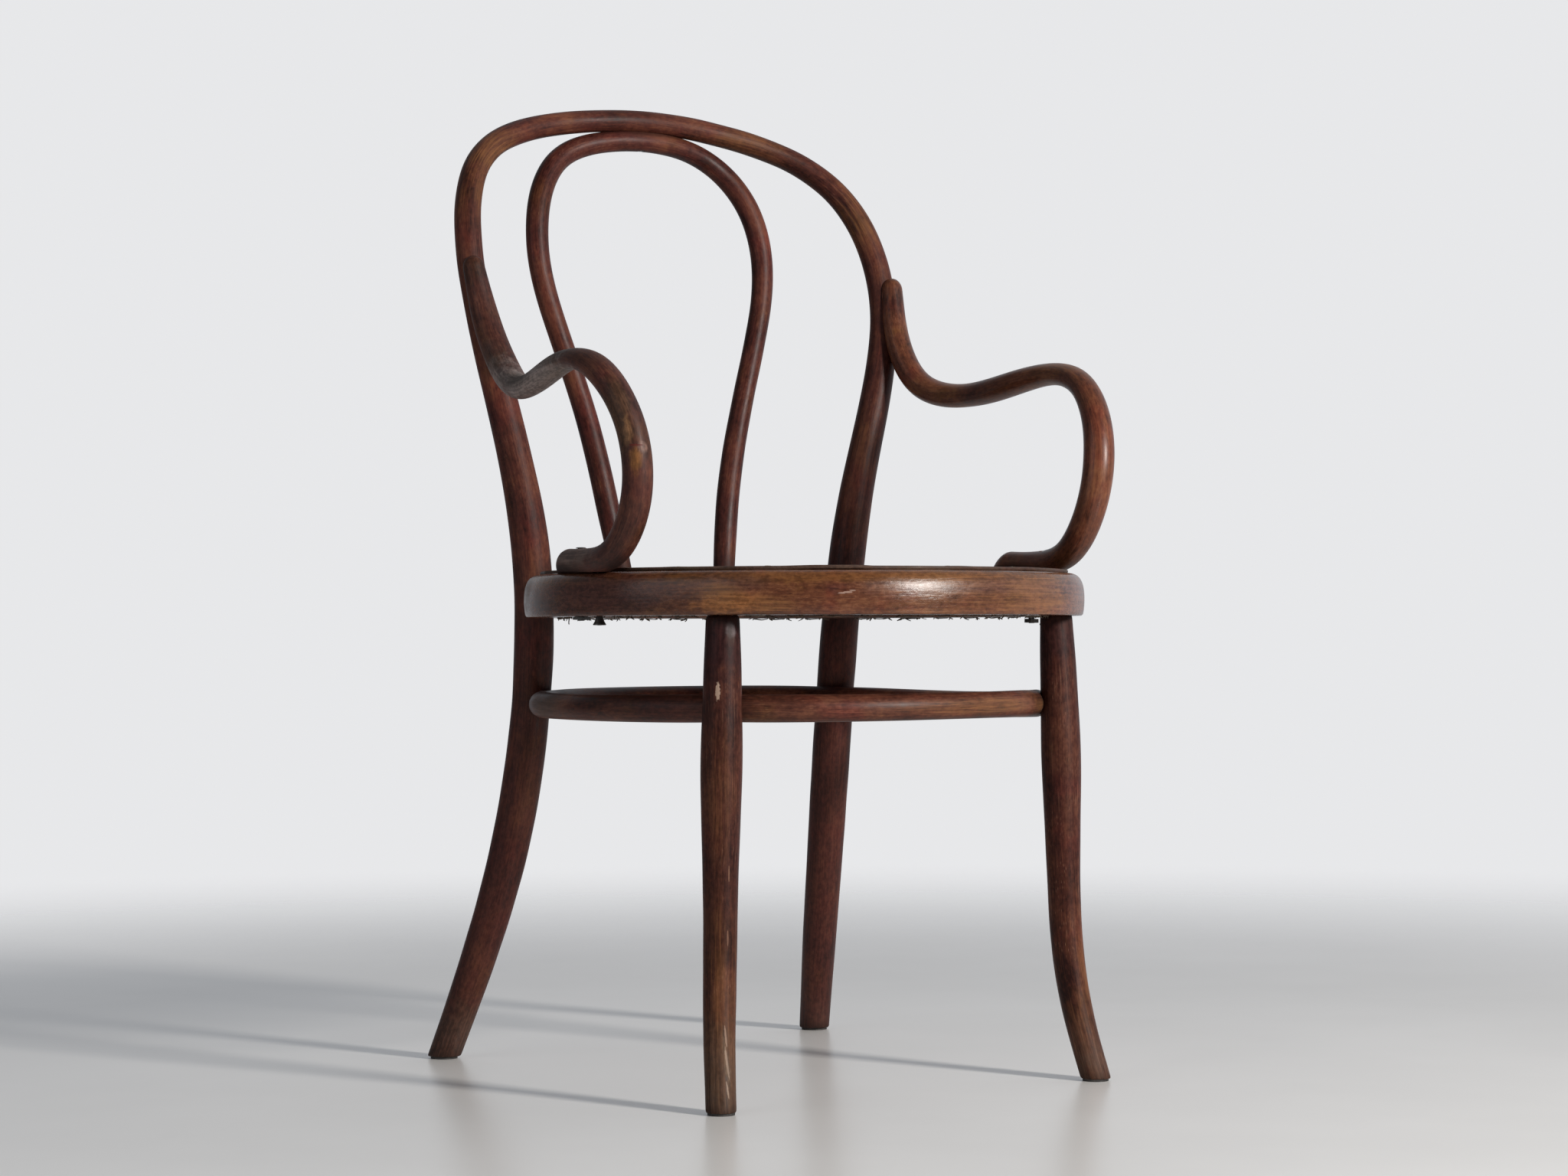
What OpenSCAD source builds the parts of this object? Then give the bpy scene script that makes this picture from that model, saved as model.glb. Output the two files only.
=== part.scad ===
// Bentwood armchair: bent and turned rods round a ring seat. Millimetres, +Z up,
// the front faces -Y, the floor is z = 0. Rods mirror about the plane x = 0.

/* [Seat] */
// Outer radius of the seat frame
seat_r = 259.5; // [258:0.5:261]
// Radial width of the seat frame
seat_w = 42; // [40:1:44]
// Thickness of the seat panel
panel_t = 3.5; // [3:0.5:4.5]
// Radius of the seat panel
panel_r = 245; // [243:1:246]

/* [Rods] */
// Thickness of the stretcher rod
stretcher_d = 23.2; // [22:0.2:25]
// Outer radius of the stretcher ring
stretcher_r = 242; // [241:0.5:243]
// Flat sides round each bent rod
sides = 18; // [14:2:20]
// Sections between two points of a route
steps = 4; // [3:1:5]

/* [Fixings] */
// Nails round the panel
nail_n = 18; // [12:2:24]
// Cane holes round the seat frame
cane_n = 84; // [60:12:96]

/* [Hidden] */
$fn = 48;
eps = 0.01;

wood = [0.30, 0.14, 0.09];
wood_lit = [0.42, 0.22, 0.13];
ply = [0.36, 0.20, 0.13];
steel = [0.20, 0.18, 0.17];
brass = [0.55, 0.44, 0.22];
cane = [0.33, 0.25, 0.16];
rubber = [0.10, 0.09, 0.09];

// routes are laid out from z = 0; the pads under the feet lift the whole chair
pad_t = 2.4;
foot_lo = -1.1;
rise = pad_t - foot_lo;
seat_lo = 425;
seat_hi = 461.8;
ring_c = [0, -39, 0];
stretch_z = 343.2;
stretch_c = [0, -11, 0];
stretch_rod = stretcher_d / 2;

// ---- routes: rows are x, y, z, half thickness along the bend, half thickness across it

// back bow, from a rear foot up to the middle of the top
bow_half = [
    [213, 284, 0, 15.2, 15.2],
    [195.5, 245.5, 95, 16.4, 16.4],
    [182, 212, 190, 17.5, 17.5],
    [174, 187, 288, 18.1, 18.1],
    [172.5, 171.5, 385, 18.3, 18.3],
    [178.5, 163, 480, 17.8, 17.8],
    [195, 161.5, 570, 15.9, 15.9],
    [218.5, 163, 662, 14.2, 14.2],
    [232, 178, 752, 12.7, 12.7],
    [218, 209, 833, 11.9, 11.9],
    [170.5, 243, 885.5, 11, 11],
    [90.5, 262, 911, 10.6, 10.6],
    [0, 260, 918.5, 10.2, 10.2]];

// inner hoop, from a foot on the seat frame up to the middle of its top
hoop_half = [
    [57.5, 201, 462, 10.5, 10.5],
    [70, 212.5, 543, 10.7, 10.7],
    [87, 219, 619, 10.3, 10.3],
    [110, 227, 694, 10, 10],
    [127.4, 237, 767, 10.2, 10.2],
    [119, 251, 836.5, 10.7, 10.7],
    [76, 266, 885.5, 10.3, 10.3],
    [0, 260, 898.7, 9.7, 9.7]];

// arm, from the tip on the bow down to the toe on the seat frame
arm_route = [
    [236.8, 163.3, 752, 10, 10.5],
    [231.5, 145, 696.5, 12.4, 12.4],
    [233.5, 108.3, 651, 13.2, 13],
    [244.8, 52.5, 638, 11.1, 13.1],
    [251.2, -7.6, 645.5, 11.2, 14],
    [261.2, -68.5, 653.5, 10, 14.4],
    [260.8, -123.3, 637.5, 12.2, 13.2],
    [252.4, -158.2, 590.5, 14, 13.8],
    [246.2, -158.7, 530, 14.2, 13.8],
    [245.2, -123.2, 483, 13, 13.2],
    [244.2, -69.8, 473, 11.2, 12.2],
    [241.6, -27, 473.3, 11.5, 12.3]];

// front leg, from the foot up to the seat frame
leg_route = [
    [200, -216, 0, 13.3, 13.3],
    [191.5, -200, 62, 13.8, 13.8],
    [186, -192.5, 125, 14.3, 14.3],
    [184, -191, 187, 15, 15],
    [183, -191, 248, 16.8, 16.8],
    [182, -191, 304, 17.9, 17.9],
    [180.5, -190.5, 362, 16.6, 16.6],
    [179, -189.5, 418, 14.8, 14.8]];

function behind(p) = [for (i = [len(p) - 2:-1:0]) [-p[i][0], p[i][1], p[i][2], p[i][3], p[i][4]]];
bow_route = concat(bow_half, behind(bow_half));
hoop_route = concat(hoop_half, behind(hoop_half));

// ---- smooth curve through the points of a route

function load(p, i) = let (k = min(max(i, 1), len(p) - 2)) 6 * (p[k - 1] - 2 * p[k] + p[k + 1]);
function sweep_on(p) = [for (i = 1, c = 0.25, d = load(p, 1) / 4; i < len(p) - 1;
    i = i + 1, d = (load(p, i) - d) / (4 - c), c = 1 / (4 - c)) [c, d]];
function sweep_back(f) = [for (i = len(f) - 1, v = f[len(f) - 1][1]; i >= 0;
    i = i - 1, v = f[max(i, 0)][1] - f[max(i, 0)][0] * v) v];
function bends(p) = let (r = sweep_back(sweep_on(p)), m = len(r))
    concat([p[0] * 0], [for (i = [m - 1:-1:0]) r[i]], [p[0] * 0]);
function row_at(p, b, t) = let (i = min(floor(t), len(p) - 2), u = t - i, v = 1 - u)
    v * p[i] + u * p[i + 1] + (v * v * v - v) / 6 * b[i] + (u * u * u - u) / 6 * b[i + 1];
function slope_at(p, b, t) = let (i = min(floor(t), len(p) - 2), u = t - i, v = 1 - u,
    s = p[i + 1] - p[i] + (1 - 3 * v * v) / 6 * b[i] + (3 * u * u - 1) / 6 * b[i + 1]) xyz(s);
function xyz(q) = [q[0], q[1], q[2]];
function unit(v) = v / norm(v);

bow_b = bends(bow_route);
hoop_b = bends(hoop_route);
arm_b = bends(arm_route);
leg_b = bends(leg_route);

// ring of points round a row: k scales it, off moves it along the tangent
function around(row, dir, ref, k, off) = let (t = unit(dir), s = unit(cross(t, ref)), w = cross(s, t))
    [for (j = [0:sides - 1]) let (a = 360 * (j + 0.5) / sides)
        xyz(row) + t * off + s * row[3] * k * cos(a) + w * row[4] * k * sin(a)];
function level(ring, dir, z0) = let (t = unit(dir)) [for (q = ring) q + t * (z0 - q[2]) / t[2]];
// worn edge and full section at a foot
function foot(p, b) = [for (e = [[0.96, foot_lo], [1, foot_lo + 1.4]])
    level(around(p[0], slope_at(p, b, 0), [0, 1, 0], e[0], 0), slope_at(p, b, 0), e[1])];

// rings along a whole route, with extra rings [scale, offset] before and after
function rings(p, b, ref, pre, post) = let (n = len(p) - 1, m = n * steps)
    concat([for (e = pre) around(p[0], slope_at(p, b, 0), ref, e[0], -e[1])],
        [for (i = [0:m]) around(row_at(p, b, i / steps), slope_at(p, b, i / steps), ref, 1, 0)],
        [for (e = post) around(p[n], slope_at(p, b, n), ref, e[0], e[1])]);

module skin(r) {
    m = len(r);
    n = len(r[0]);
    polyhedron(points = [for (q = r) each q],
        faces = concat([[for (j = [n - 1:-1:0]) j]],
            [for (i = [0:m - 2]) for (j = [0:n - 1]) let (k = (j + 1) % n)
                each [[i * n + j, (i + 1) * n + k, (i + 1) * n + j], [i * n + j, i * n + k, (i + 1) * n + k]]],
            [[for (j = [0:n - 1]) (m - 1) * n + j]]), convexity = 10);
}

// straight cylinder from a point along a direction
module drill(p, d, r, l, r2 = -1) {
    u = unit(d);
    translate(p) rotate([0, acos(u[2]), atan2(u[1], u[0])]) cylinder(h = l, r1 = r, r2 = r2 < 0 ? r : r2);
}
// a stretch of the bow between two of its own sections, a little thicker: what a joint is hollowed by
module bow_room(t0, t1, gap) {
    skin([for (t = [t0:1 / steps:t1]) let (r = row_at(bow_route, bow_b, t)) around(r, slope_at(bow_route, bow_b, t), [0, 1, 0], 1 + gap / r[3], 0)]);
}
module both() { children(); mirror([1, 0, 0]) children(); }
module lift() { translate([0, 0, rise]) children(); }
module at(c, a, r, z) { translate([c[0] + r * cos(a), c[1] + r * sin(a), z]) rotate([0, 0, a]) children(); }

// ---- where things meet

// point of the bow at a height, found by halving
function bow_t(z, lo, hi, n) = n == 0 ? (lo + hi) / 2 :
    let (m = (lo + hi) / 2) row_at(bow_route, bow_b, m)[2] < z ? bow_t(z, m, hi, n - 1) : bow_t(z, lo, m, n - 1);
function bow_row(z) = row_at(bow_route, bow_b, bow_t(z, 0, 12, 16));
function bow_dir(z) = unit(slope_at(bow_route, bow_b, bow_t(z, 0, 12, 16)));
function arm_t(z, lo, hi, n) = n == 0 ? (lo + hi) / 2 :
    let (m = (lo + hi) / 2) row_at(arm_route, arm_b, m)[2] > z ? arm_t(z, m, hi, n - 1) : arm_t(z, lo, m, n - 1);
function arm_row(z) = row_at(arm_route, arm_b, arm_t(z, 0, 2, 16));
function leg_row(z) = let (t = [for (i = 0, t = 0; i < 18; t = t + (row_at(leg_route, leg_b, t)[2] < z ? 1 : -1) * 3.5 / pow(2, i), i = i + 1) t])
    row_at(leg_route, leg_b, t[17]);

// keeps a point of the arm clear of the bow: the arm is hollowed to fit
function clear_bow(q) = q[2] < 635 ? q :
    let (z = min(q[2], 790), c = bow_row(z), t = bow_dir(z), d = q - xyz(c), f = d - (d * t) * t, gap = c[3] + 1.15 - norm(f))
        gap > 0 ? q + unit(f) * gap : q;
function seat_down(q) = [q[0], q[1], max(q[2], seat_hi + 0.02)];

// the toe slopes down on to the seat frame: its rings shrink towards their lowest point
arm_toe = [for (e = [[0.95, 6], [0.83, 12], [0.64, 17], [0.42, 20.6], [0.2, 22.6]])
    [for (q = around(arm_route[11], slope_at(arm_route, arm_b, 11), [1, 0, 0], e[0], e[1])) q - [0, 0, (1 - e[0]) * arm_route[11][3]]]];
arm_rings = [for (r = concat(rings(arm_route, arm_b, [1, 0, 0], [[0.2, 12.6], [0.5, 11.2], [0.77, 8.2], [0.94, 4.4]], []), arm_toe))
    [for (q = r) clear_bow(seat_down(q))]];

// rear leg and seat frame: two screws from inside the frame into each leg
mid_z = 444;
leg_screw_zs = [434, 446.8];
bow_mid = xyz(bow_row(mid_z));
bow_out = unit([bow_mid[0] - ring_c[0], bow_mid[1] - ring_c[1], 0]);
function from_ring(d, z) = [ring_c[0] + bow_out[0] * d, ring_c[1] + bow_out[1] * d, z];

// stretcher and legs
rear_low = bow_row(stretch_z);
front_low = leg_row(stretch_z);
rear_out = unit([rear_low[0], rear_low[1] - stretch_c[1], 0]);
front_out = unit([front_low[0], front_low[1] - stretch_c[1], 0]);
function from_stretch(u, d) = [u[0] * d, stretch_c[1] + u[1] * d, stretch_z];

// arm foot fixings
rear_bolt = [242.5, -51];
front_bolt = [243, -85];
foot_rear = 484;
foot_front = 481.5;
front_shank = 2.2;

// arm and bow screws
screw_zs = [712, 744];
function scr_from(z) = xyz(bow_row(z));
function scr_dir(z) = unit([arm_row(z)[0] - bow_row(z)[0], arm_row(z)[1] - bow_row(z)[1], 0]);

// cane holes kept clear of the other joints
function cane_a(i) = 360 * (i + 0.5) / cane_n;
function cane_xy(i) = [ring_c[0] + 228 * cos(cane_a(i)), ring_c[1] + 228 * sin(cane_a(i))];
leg_top = [179, -189.5];
function far(p, q, d) = norm([abs(p[0]) - q[0], p[1] - q[1]]) > d;
function cane_ok(i) = let (p = cane_xy(i)) far(p, leg_top, 18) && far(p, [57, 199], 19)
    && far(p, [bow_out[0] * 228, ring_c[1] + bow_out[1] * 228], 12);

// ---- bent and turned wood

module bow_bores() {
    both() {
        for (z = leg_screw_zs) drill(from_ring(240, z), bow_out, 2.1, 28);
        drill(from_stretch(rear_out, 225), rear_out, 2.1, 34);
        for (z = screw_zs) {
            drill(scr_from(z) - scr_dir(z) * 20, scr_dir(z), 2.1, 40);
            drill(scr_from(z) - scr_dir(z) * (bow_row(z)[3] + 6), scr_dir(z), 4.6, 9.6);
        }
    }
    drill([0, 260, 900], [0, 0, 1], 1.9, 15.5);
}

// the far foot: same rings, met from above
foot_end = [for (e = [[1, foot_lo + 1.4], [0.96, foot_lo]]) let (n = len(bow_route) - 1, d = slope_at(bow_route, bow_b, n))
    level(around(bow_route[n], d, [0, 1, 0], e[0], 0), d, e[1])];

module back_bow() {
    color(wood) lift() difference() {
        skin(concat(foot(bow_route, bow_b),
            [for (i = [1:(len(bow_route) - 1) * steps - 1]) let (t = i / steps)
                [for (q = around(row_at(bow_route, bow_b, t), slope_at(bow_route, bow_b, t), [0, 1, 0], 1, 0)) abs(q[0]) < 16 ? [q[0], q[1], max(q[2], 908.45)] : q]],
            foot_end));
        bow_bores();
    }
}

module back_hoop() {
    color(wood) lift() difference() {
        skin([for (r = rings(hoop_route, hoop_b, [0, 1, 0], [[0.96, 22], [1, 20]], [[1, 20], [0.96, 22]]))
            [for (q = r) abs(q[0]) < 40 ? [q[0], q[1], min(q[2], 908.4)] : q]]);
        drill([0, 260, 880], [0, 0, 1], 1.9, 40);
        drill([0, 260, 880], [0, 0, 1], 4.2, 11.4);
    }
}

module arm() {
    color(wood) lift() difference() {
        skin(arm_rings);
        translate([rear_bolt[0], rear_bolt[1], 440]) cylinder(h = 60, r = 3.1);
        translate([front_bolt[0], front_bolt[1], 440]) cylinder(h = 60, r = front_shank + 0.1);
        translate([front_bolt[0], front_bolt[1], foot_front - 0.1]) cylinder(h = 10, r = 5.6);
        for (z = screw_zs) drill(scr_from(z), scr_dir(z), 1.9, 24);
    }
}
module arm_right() { mirror([1, 0, 0]) arm(); }
module arm_left() { arm(); }

module leg() {
    top = slope_at(leg_route, leg_b, len(leg_route) - 1);
    color(wood) lift() difference() {
        skin(concat(foot(leg_route, leg_b),
            [for (i = [1:(len(leg_route) - 1) * steps]) around(row_at(leg_route, leg_b, i / steps), slope_at(leg_route, leg_b, i / steps), [0, 1, 0], 1, 0)],
            [for (e = [[0.985, 3], [0.93, 5.4], [0.88, 6.96]]) level(around(leg_route[7], [0, 0, 1], [0, 1, 0], e[0], e[1]), [0, 0, 1], 418 + e[1])],
            [for (e = [[0.64, 6.96], [0.64, 33], [0.58, 35]]) level(around(leg_route[7], [0, 0, 1], [0, 1, 0], e[0], e[1]), [0, 0, 1], 418 + e[1])]));
        drill(from_stretch(front_out, 225), front_out, 2.1, 30);
    }
}
module front_leg_left() { leg(); }
module front_leg_right() { mirror([1, 0, 0]) leg(); }

// section of the seat frame: flat top, soft outer shoulder, slightly full face
ring_in = seat_r - seat_w;
module ring_section() {
    polygon(concat(
        [for (a = [90:-9:0]) [seat_r - 14 + 14 * cos(a), 438 + (seat_hi - 438) * sin(a)]],
        [[seat_r - 0.3, 433], [seat_r - 0.8, 429.5], [seat_r - 1.3, 427], [seat_r - 1.8, 425.8], [seat_r - 2.6, 425.1], [seat_r - 3.4, 425]],
        [for (a = [0:30:90]) [ring_in + 3 - 3 * sin(a), 428 - 3 * cos(a)]],
        [for (a = [0:30:90]) [ring_in + 3 - 3 * cos(a), seat_hi - 3 + 3 * sin(a)]]));
}

module seat_ring() {
    color(wood_lit) lift() difference() {
        translate(ring_c) rotate_extrude($fn = 96) ring_section();
        both() {
            // hollows for the rear legs, with their screws
            bow_room(4, 5.25, 0.2);
            for (z = leg_screw_zs) drill(from_ring(200, z), bow_out, 2.1, 60);
            // front leg tenons
            translate([leg_top[0], leg_top[1], 420]) cylinder(h = 35, r = 9.7);
            // hoop ends
            drill(xyz(hoop_route[0]) - unit(slope_at(hoop_route, hoop_b, 0)) * 22.5, slope_at(hoop_route, hoop_b, 0), 10.7, 40);
            // arm bolts
            translate([rear_bolt[0], rear_bolt[1], 415]) cylinder(h = 60, r = 3.1);
            translate([front_bolt[0], front_bolt[1], 415]) cylinder(h = 60, r = front_shank + 0.1);
        }
        for (i = [0:cane_n - 1]) if (cane_ok(i)) translate([cane_xy(i)[0], cane_xy(i)[1], 420]) cylinder(h = 50, r = 2.2, $fn = 24);
        for (i = [0:nail_n - 1]) translate([nail_xy(i)[0], nail_xy(i)[1], 450]) cylinder(h = 30, r = 0.9, $fn = 16);
    }
}

// nails set between the cane holes and the panel's edge
function nail_a(i) = 360 * (i + 0.5) / nail_n;
function nail_xy(i) = [ring_c[0] + 234.5 * cos(nail_a(i)), ring_c[1] + 234.5 * sin(nail_a(i))];

module seat_panel() {
    color(ply) lift() difference() {
        translate([ring_c[0], ring_c[1], seat_hi + 0.02]) cylinder(h = panel_t, r = panel_r, $fn = 96);
        both() {
            translate([232.2 + ring_c[0], ring_c[1] - 90, seat_hi - 5]) cube([30, 180, 20]);
            translate([57.7, 201, seat_hi - 5]) cylinder(h = 20, r = 11.6);
            translate([57.7, 209, seat_hi - 5]) cylinder(h = 20, r = 11.6);
        }
        for (i = [0:nail_n - 1]) translate([nail_xy(i)[0], nail_xy(i)[1], seat_hi - 5]) cylinder(h = 20, r = 0.9, $fn = 16);
    }
}

module stretcher_ring() {
    color(wood) lift() difference() {
        translate([stretch_c[0], stretch_c[1], stretch_z]) rotate_extrude($fn = 96) translate([stretcher_r - stretch_rod, 0]) circle(r = stretch_rod, $fn = 32);
        both() {
            bow_room(3, 4, 0.2);
            drill(xyz(leg_row(300)), xyz(leg_row(388)) - xyz(leg_row(300)), front_low[3] + 0.25, 90);
            for (u = [rear_out, front_out]) {
                drill(from_stretch(u, stretcher_r - 2 * stretch_rod - 8), u, 2.1, 50);
                drill(from_stretch(u, stretcher_r - 2 * stretch_rod - 6), u, 4.6, 9.9);
            }
        }
    }
}

// ---- fixings

// screw with a slotted flat head; the head's face is at the origin, the point towards +Z
module screw(head_r, shank_r, l) {
    difference() {
        union() {
            cylinder(h = 2.4, r1 = head_r, r2 = shank_r);
            translate([0, 0, 2.4]) cylinder(h = l - 5.4, r = shank_r);
            translate([0, 0, l - 3]) cylinder(h = 3, r1 = shank_r, r2 = 0.3);
        }
        translate([-head_r, -0.5, -1]) cube([2 * head_r, 1, 1.9]);
    }
}
module aim(p, d) { u = unit(d); translate(p) rotate([0, acos(u[2]), atan2(u[1], u[0])]) children(); }

// bolt down through an arm foot: z is the head's seat, end the bolt's tip
module foot_bolt(p, z, end, shank_r, head_r, head_h) {
    translate([p[0], p[1], 0]) {
        translate([0, 0, end]) cylinder(h = z - end, r = shank_r);
        translate([0, 0, z]) difference() {
            cylinder(h = head_h, r1 = head_r, r2 = head_r * 0.62);
            translate([-head_r, -0.6, head_h - 0.6]) cube([2 * head_r, 1.2, 2]);
        }
    }
}
// bolt with a round slotted head: the head's seat is at the origin, the point towards +Z
module round_screw(head_r, shank_r, l) {
    difference() {
        union() {
            translate([0, 0, -2.6]) cylinder(h = 2.6, r1 = head_r * 0.55, r2 = head_r);
            cylinder(h = l - 3, r = shank_r);
            translate([0, 0, l - 3]) cylinder(h = 3, r1 = shank_r, r2 = 0.3);
        }
        translate([-head_r, -0.5, -3.6]) cube([2 * head_r, 1, 2.1]);
    }
}
module arm_rear_bolts() { color(steel) lift() both() foot_bolt(rear_bolt, foot_rear, 421.2, 3, 4.6, 0.9); }
module arm_front_bolts() { color(steel) lift() both() foot_bolt(front_bolt, foot_front, 417.1, front_shank, 5.2, 2.4); }
module ring_washer(p, z, ro, ri, h) { translate([p[0], p[1], z]) difference() { cylinder(h = h, r = ro); translate([0, 0, -1]) cylinder(h = h + 2, r = ri); } }
module arm_rear_washers() { color(steel) lift() both() ring_washer(rear_bolt, 424.1, 6.4, 3.1, 0.85); }
// flat square nuts up against their washers
module arm_rear_nuts() {
    color(steel) lift() both() translate([rear_bolt[0], rear_bolt[1], 421.85]) difference() {
        rotate([0, 0, 28]) translate([-5.4, -5.4, 0]) cube([10.8, 10.8, 2.2]);
        translate([0, 0, -1]) cylinder(h = 6, r = 3.02);
    }
}
// nuts with a wide foot and a neck that reaches the frame
module arm_front_nuts() {
    color(steel) lift() both() translate([front_bolt[0], front_bolt[1], 416.9]) difference() {
        union() {
            cylinder(h = 1, r = 5.9);
            translate([0, 0, 1]) cylinder(h = 7, r1 = 5.9, r2 = 2.9);
        }
        translate([0, 0, -1]) cylinder(h = 11, r = front_shank + 0.02);
    }
}
module arm_top_screws() {
    color(steel) lift() both() for (z = screw_zs)
        aim(scr_from(z) - scr_dir(z) * (bow_row(z)[3] - 1), scr_dir(z)) screw(4.4, 1.85, 33);
}
module hoop_screw() { color(steel) lift() aim([0, 260, 889.2], [0, 0, 1]) screw(4, 1.8, 25); }
// the washers stand a little off the curved inner face
module bow_screws() {
    color(steel) lift() both() for (z = leg_screw_zs) aim(from_ring(ring_in - 1.65, z), bow_out) round_screw(4.4, 2, 49);
}
module bow_washers() {
    color(steel) lift() both() for (z = leg_screw_zs) aim(from_ring(ring_in - 1.6, z), bow_out) difference() {
        cylinder(h = 1.2, r = 6);
        translate([0, 0, -1]) cylinder(h = 4, r = 2.1);
    }
}
module stretcher_screws() {
    color(steel) lift() both() for (u = [rear_out, front_out])
        aim(from_stretch(u, stretcher_r - 2 * stretch_rod + 1.45), u) screw(4.4, 2, 34);
}
module panel_nails() {
    color(brass) lift() for (i = [0:nail_n - 1]) translate([nail_xy(i)[0], nail_xy(i)[1], 0]) {
        translate([0, 0, 451]) cylinder(h = seat_hi + panel_t - 451 + 0.1, r = 0.88, $fn = 16);
        translate([0, 0, seat_hi + panel_t + 0.03]) cylinder(h = 0.4, r1 = 3, r2 = 2.3, $fn = 20);
    }
}

// cane ends left under the frame: a strap from hole to hole, and a loose end at every third hole
module cane_loops() {
    color(cane) lift() {
        for (i = [0:cane_n - 1]) if (cane_ok(i) && cane_ok((i + 1) % cane_n) && i % 2 == 0)
            at(ring_c, 360 * (i + 1) / cane_n, 228 * cos(180 / cane_n), 0) translate([-1.3, -8.6, 423.6]) cube([2.6, 17.2, 1.35]);
        for (i = [1:6:cane_n - 1]) if (cane_ok(i))
            translate([cane_xy(i)[0], cane_xy(i)[1], 420.5]) rotate([0, 0, cane_a(i)]) translate([-1, -0.5, 0]) cube([2, 1, 12]);
    }
}

// thin worn pads under the four feet
module foot_pads() {
    color(rubber) both() {
        translate([bow_route[0][0] + 0.2, bow_route[0][1] + 0.4, 0]) cylinder(h = pad_t - 0.02, r = 13);
        translate([leg_route[0][0], leg_route[0][1] - 0.2, 0]) cylinder(h = pad_t - 0.02, r = 12);
    }
}

back_bow();
back_hoop();
seat_ring();
seat_panel();
arm_left();
arm_right();
front_leg_left();
front_leg_right();
stretcher_ring();
arm_rear_bolts();
arm_rear_washers();
arm_rear_nuts();
arm_front_bolts();
arm_front_nuts();
arm_top_screws();
hoop_screw();
bow_screws();
bow_washers();
stretcher_screws();
panel_nails();
cane_loops();
foot_pads();
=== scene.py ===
"""Bentwood armchair: bent rods swept along the frame's routes, with worn stain and varnish."""
import math

import bmesh
import bpy
import numpy as np
from mathutils import Matrix, Vector
from mathutils.kdtree import KDTree


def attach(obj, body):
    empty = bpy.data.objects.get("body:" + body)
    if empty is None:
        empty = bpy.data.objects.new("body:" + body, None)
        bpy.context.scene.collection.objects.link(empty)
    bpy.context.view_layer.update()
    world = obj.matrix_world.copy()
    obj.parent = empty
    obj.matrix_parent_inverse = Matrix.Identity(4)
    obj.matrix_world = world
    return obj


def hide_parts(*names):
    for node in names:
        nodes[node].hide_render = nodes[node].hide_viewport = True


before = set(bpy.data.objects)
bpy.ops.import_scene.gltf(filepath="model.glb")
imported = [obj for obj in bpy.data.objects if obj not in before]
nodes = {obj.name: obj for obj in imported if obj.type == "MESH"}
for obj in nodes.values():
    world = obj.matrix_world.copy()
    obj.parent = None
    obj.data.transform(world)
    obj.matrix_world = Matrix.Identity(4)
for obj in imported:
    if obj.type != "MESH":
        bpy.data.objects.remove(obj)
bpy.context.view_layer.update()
MM = 0.001
RISE = 3.5          # the routes start at z = 0, the chair stands on pads

# ---------------------------------------------------------------- camera

YAW, PITCH, ROLL = math.radians(32.0014), math.radians(0.4307), math.radians(-0.409)
FWD = Vector((math.sin(YAW) * math.cos(PITCH), math.cos(YAW) * math.cos(PITCH), math.sin(PITCH)))
RIGHT = Vector((math.cos(YAW), -math.sin(YAW), 0))
UP = RIGHT.cross(FWD)
CAM_X = math.cos(ROLL) * RIGHT + math.sin(ROLL) * UP
CAM_Y = -math.sin(ROLL) * RIGHT + math.cos(ROLL) * UP
EYE = Vector((-1.8084, -2.8977, 0.4279))
cam = bpy.data.objects.new("camera", bpy.data.cameras.new("camera"))
bpy.context.scene.collection.objects.link(cam)
cam.matrix_world = Matrix.Translation(EYE) @ Matrix((CAM_X, CAM_Y, -FWD)).transposed().to_4x4()
cam.data.sensor_width = 36
cam.data.lens = 36 * 4756.6 / 2048
cam.data.clip_start, cam.data.clip_end = 0.05, 100
bpy.context.scene.camera = cam

# ---------------------------------------------------------------- routes, as in the CAD source

BOW_HALF = [
    (213, 284, 0, 15.2, 15.2), (195.5, 245.5, 95, 16.4, 16.4), (182, 212, 190, 17.5, 17.5),
    (174, 187, 288, 18.1, 18.1), (172.5, 171.5, 385, 18.3, 18.3), (178.5, 163, 480, 17.8, 17.8),
    (195, 161.5, 570, 15.9, 15.9), (218.5, 163, 662, 14.2, 14.2), (232, 178, 752, 12.7, 12.7),
    (218, 209, 833, 11.9, 11.9), (170.5, 243, 885.5, 11, 11), (90.5, 262, 911, 10.6, 10.6),
    (0, 260, 918.5, 10.2, 10.2)]
HOOP_HALF = [
    (57.5, 201, 462, 10.5, 10.5), (70, 212.5, 543, 10.7, 10.7), (87, 219, 619, 10.3, 10.3),
    (110, 227, 694, 10, 10), (127.4, 237, 767, 10.2, 10.2), (119, 251, 836.5, 10.7, 10.7),
    (76, 266, 885.5, 10.3, 10.3), (0, 260, 898.7, 9.7, 9.7)]
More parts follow.
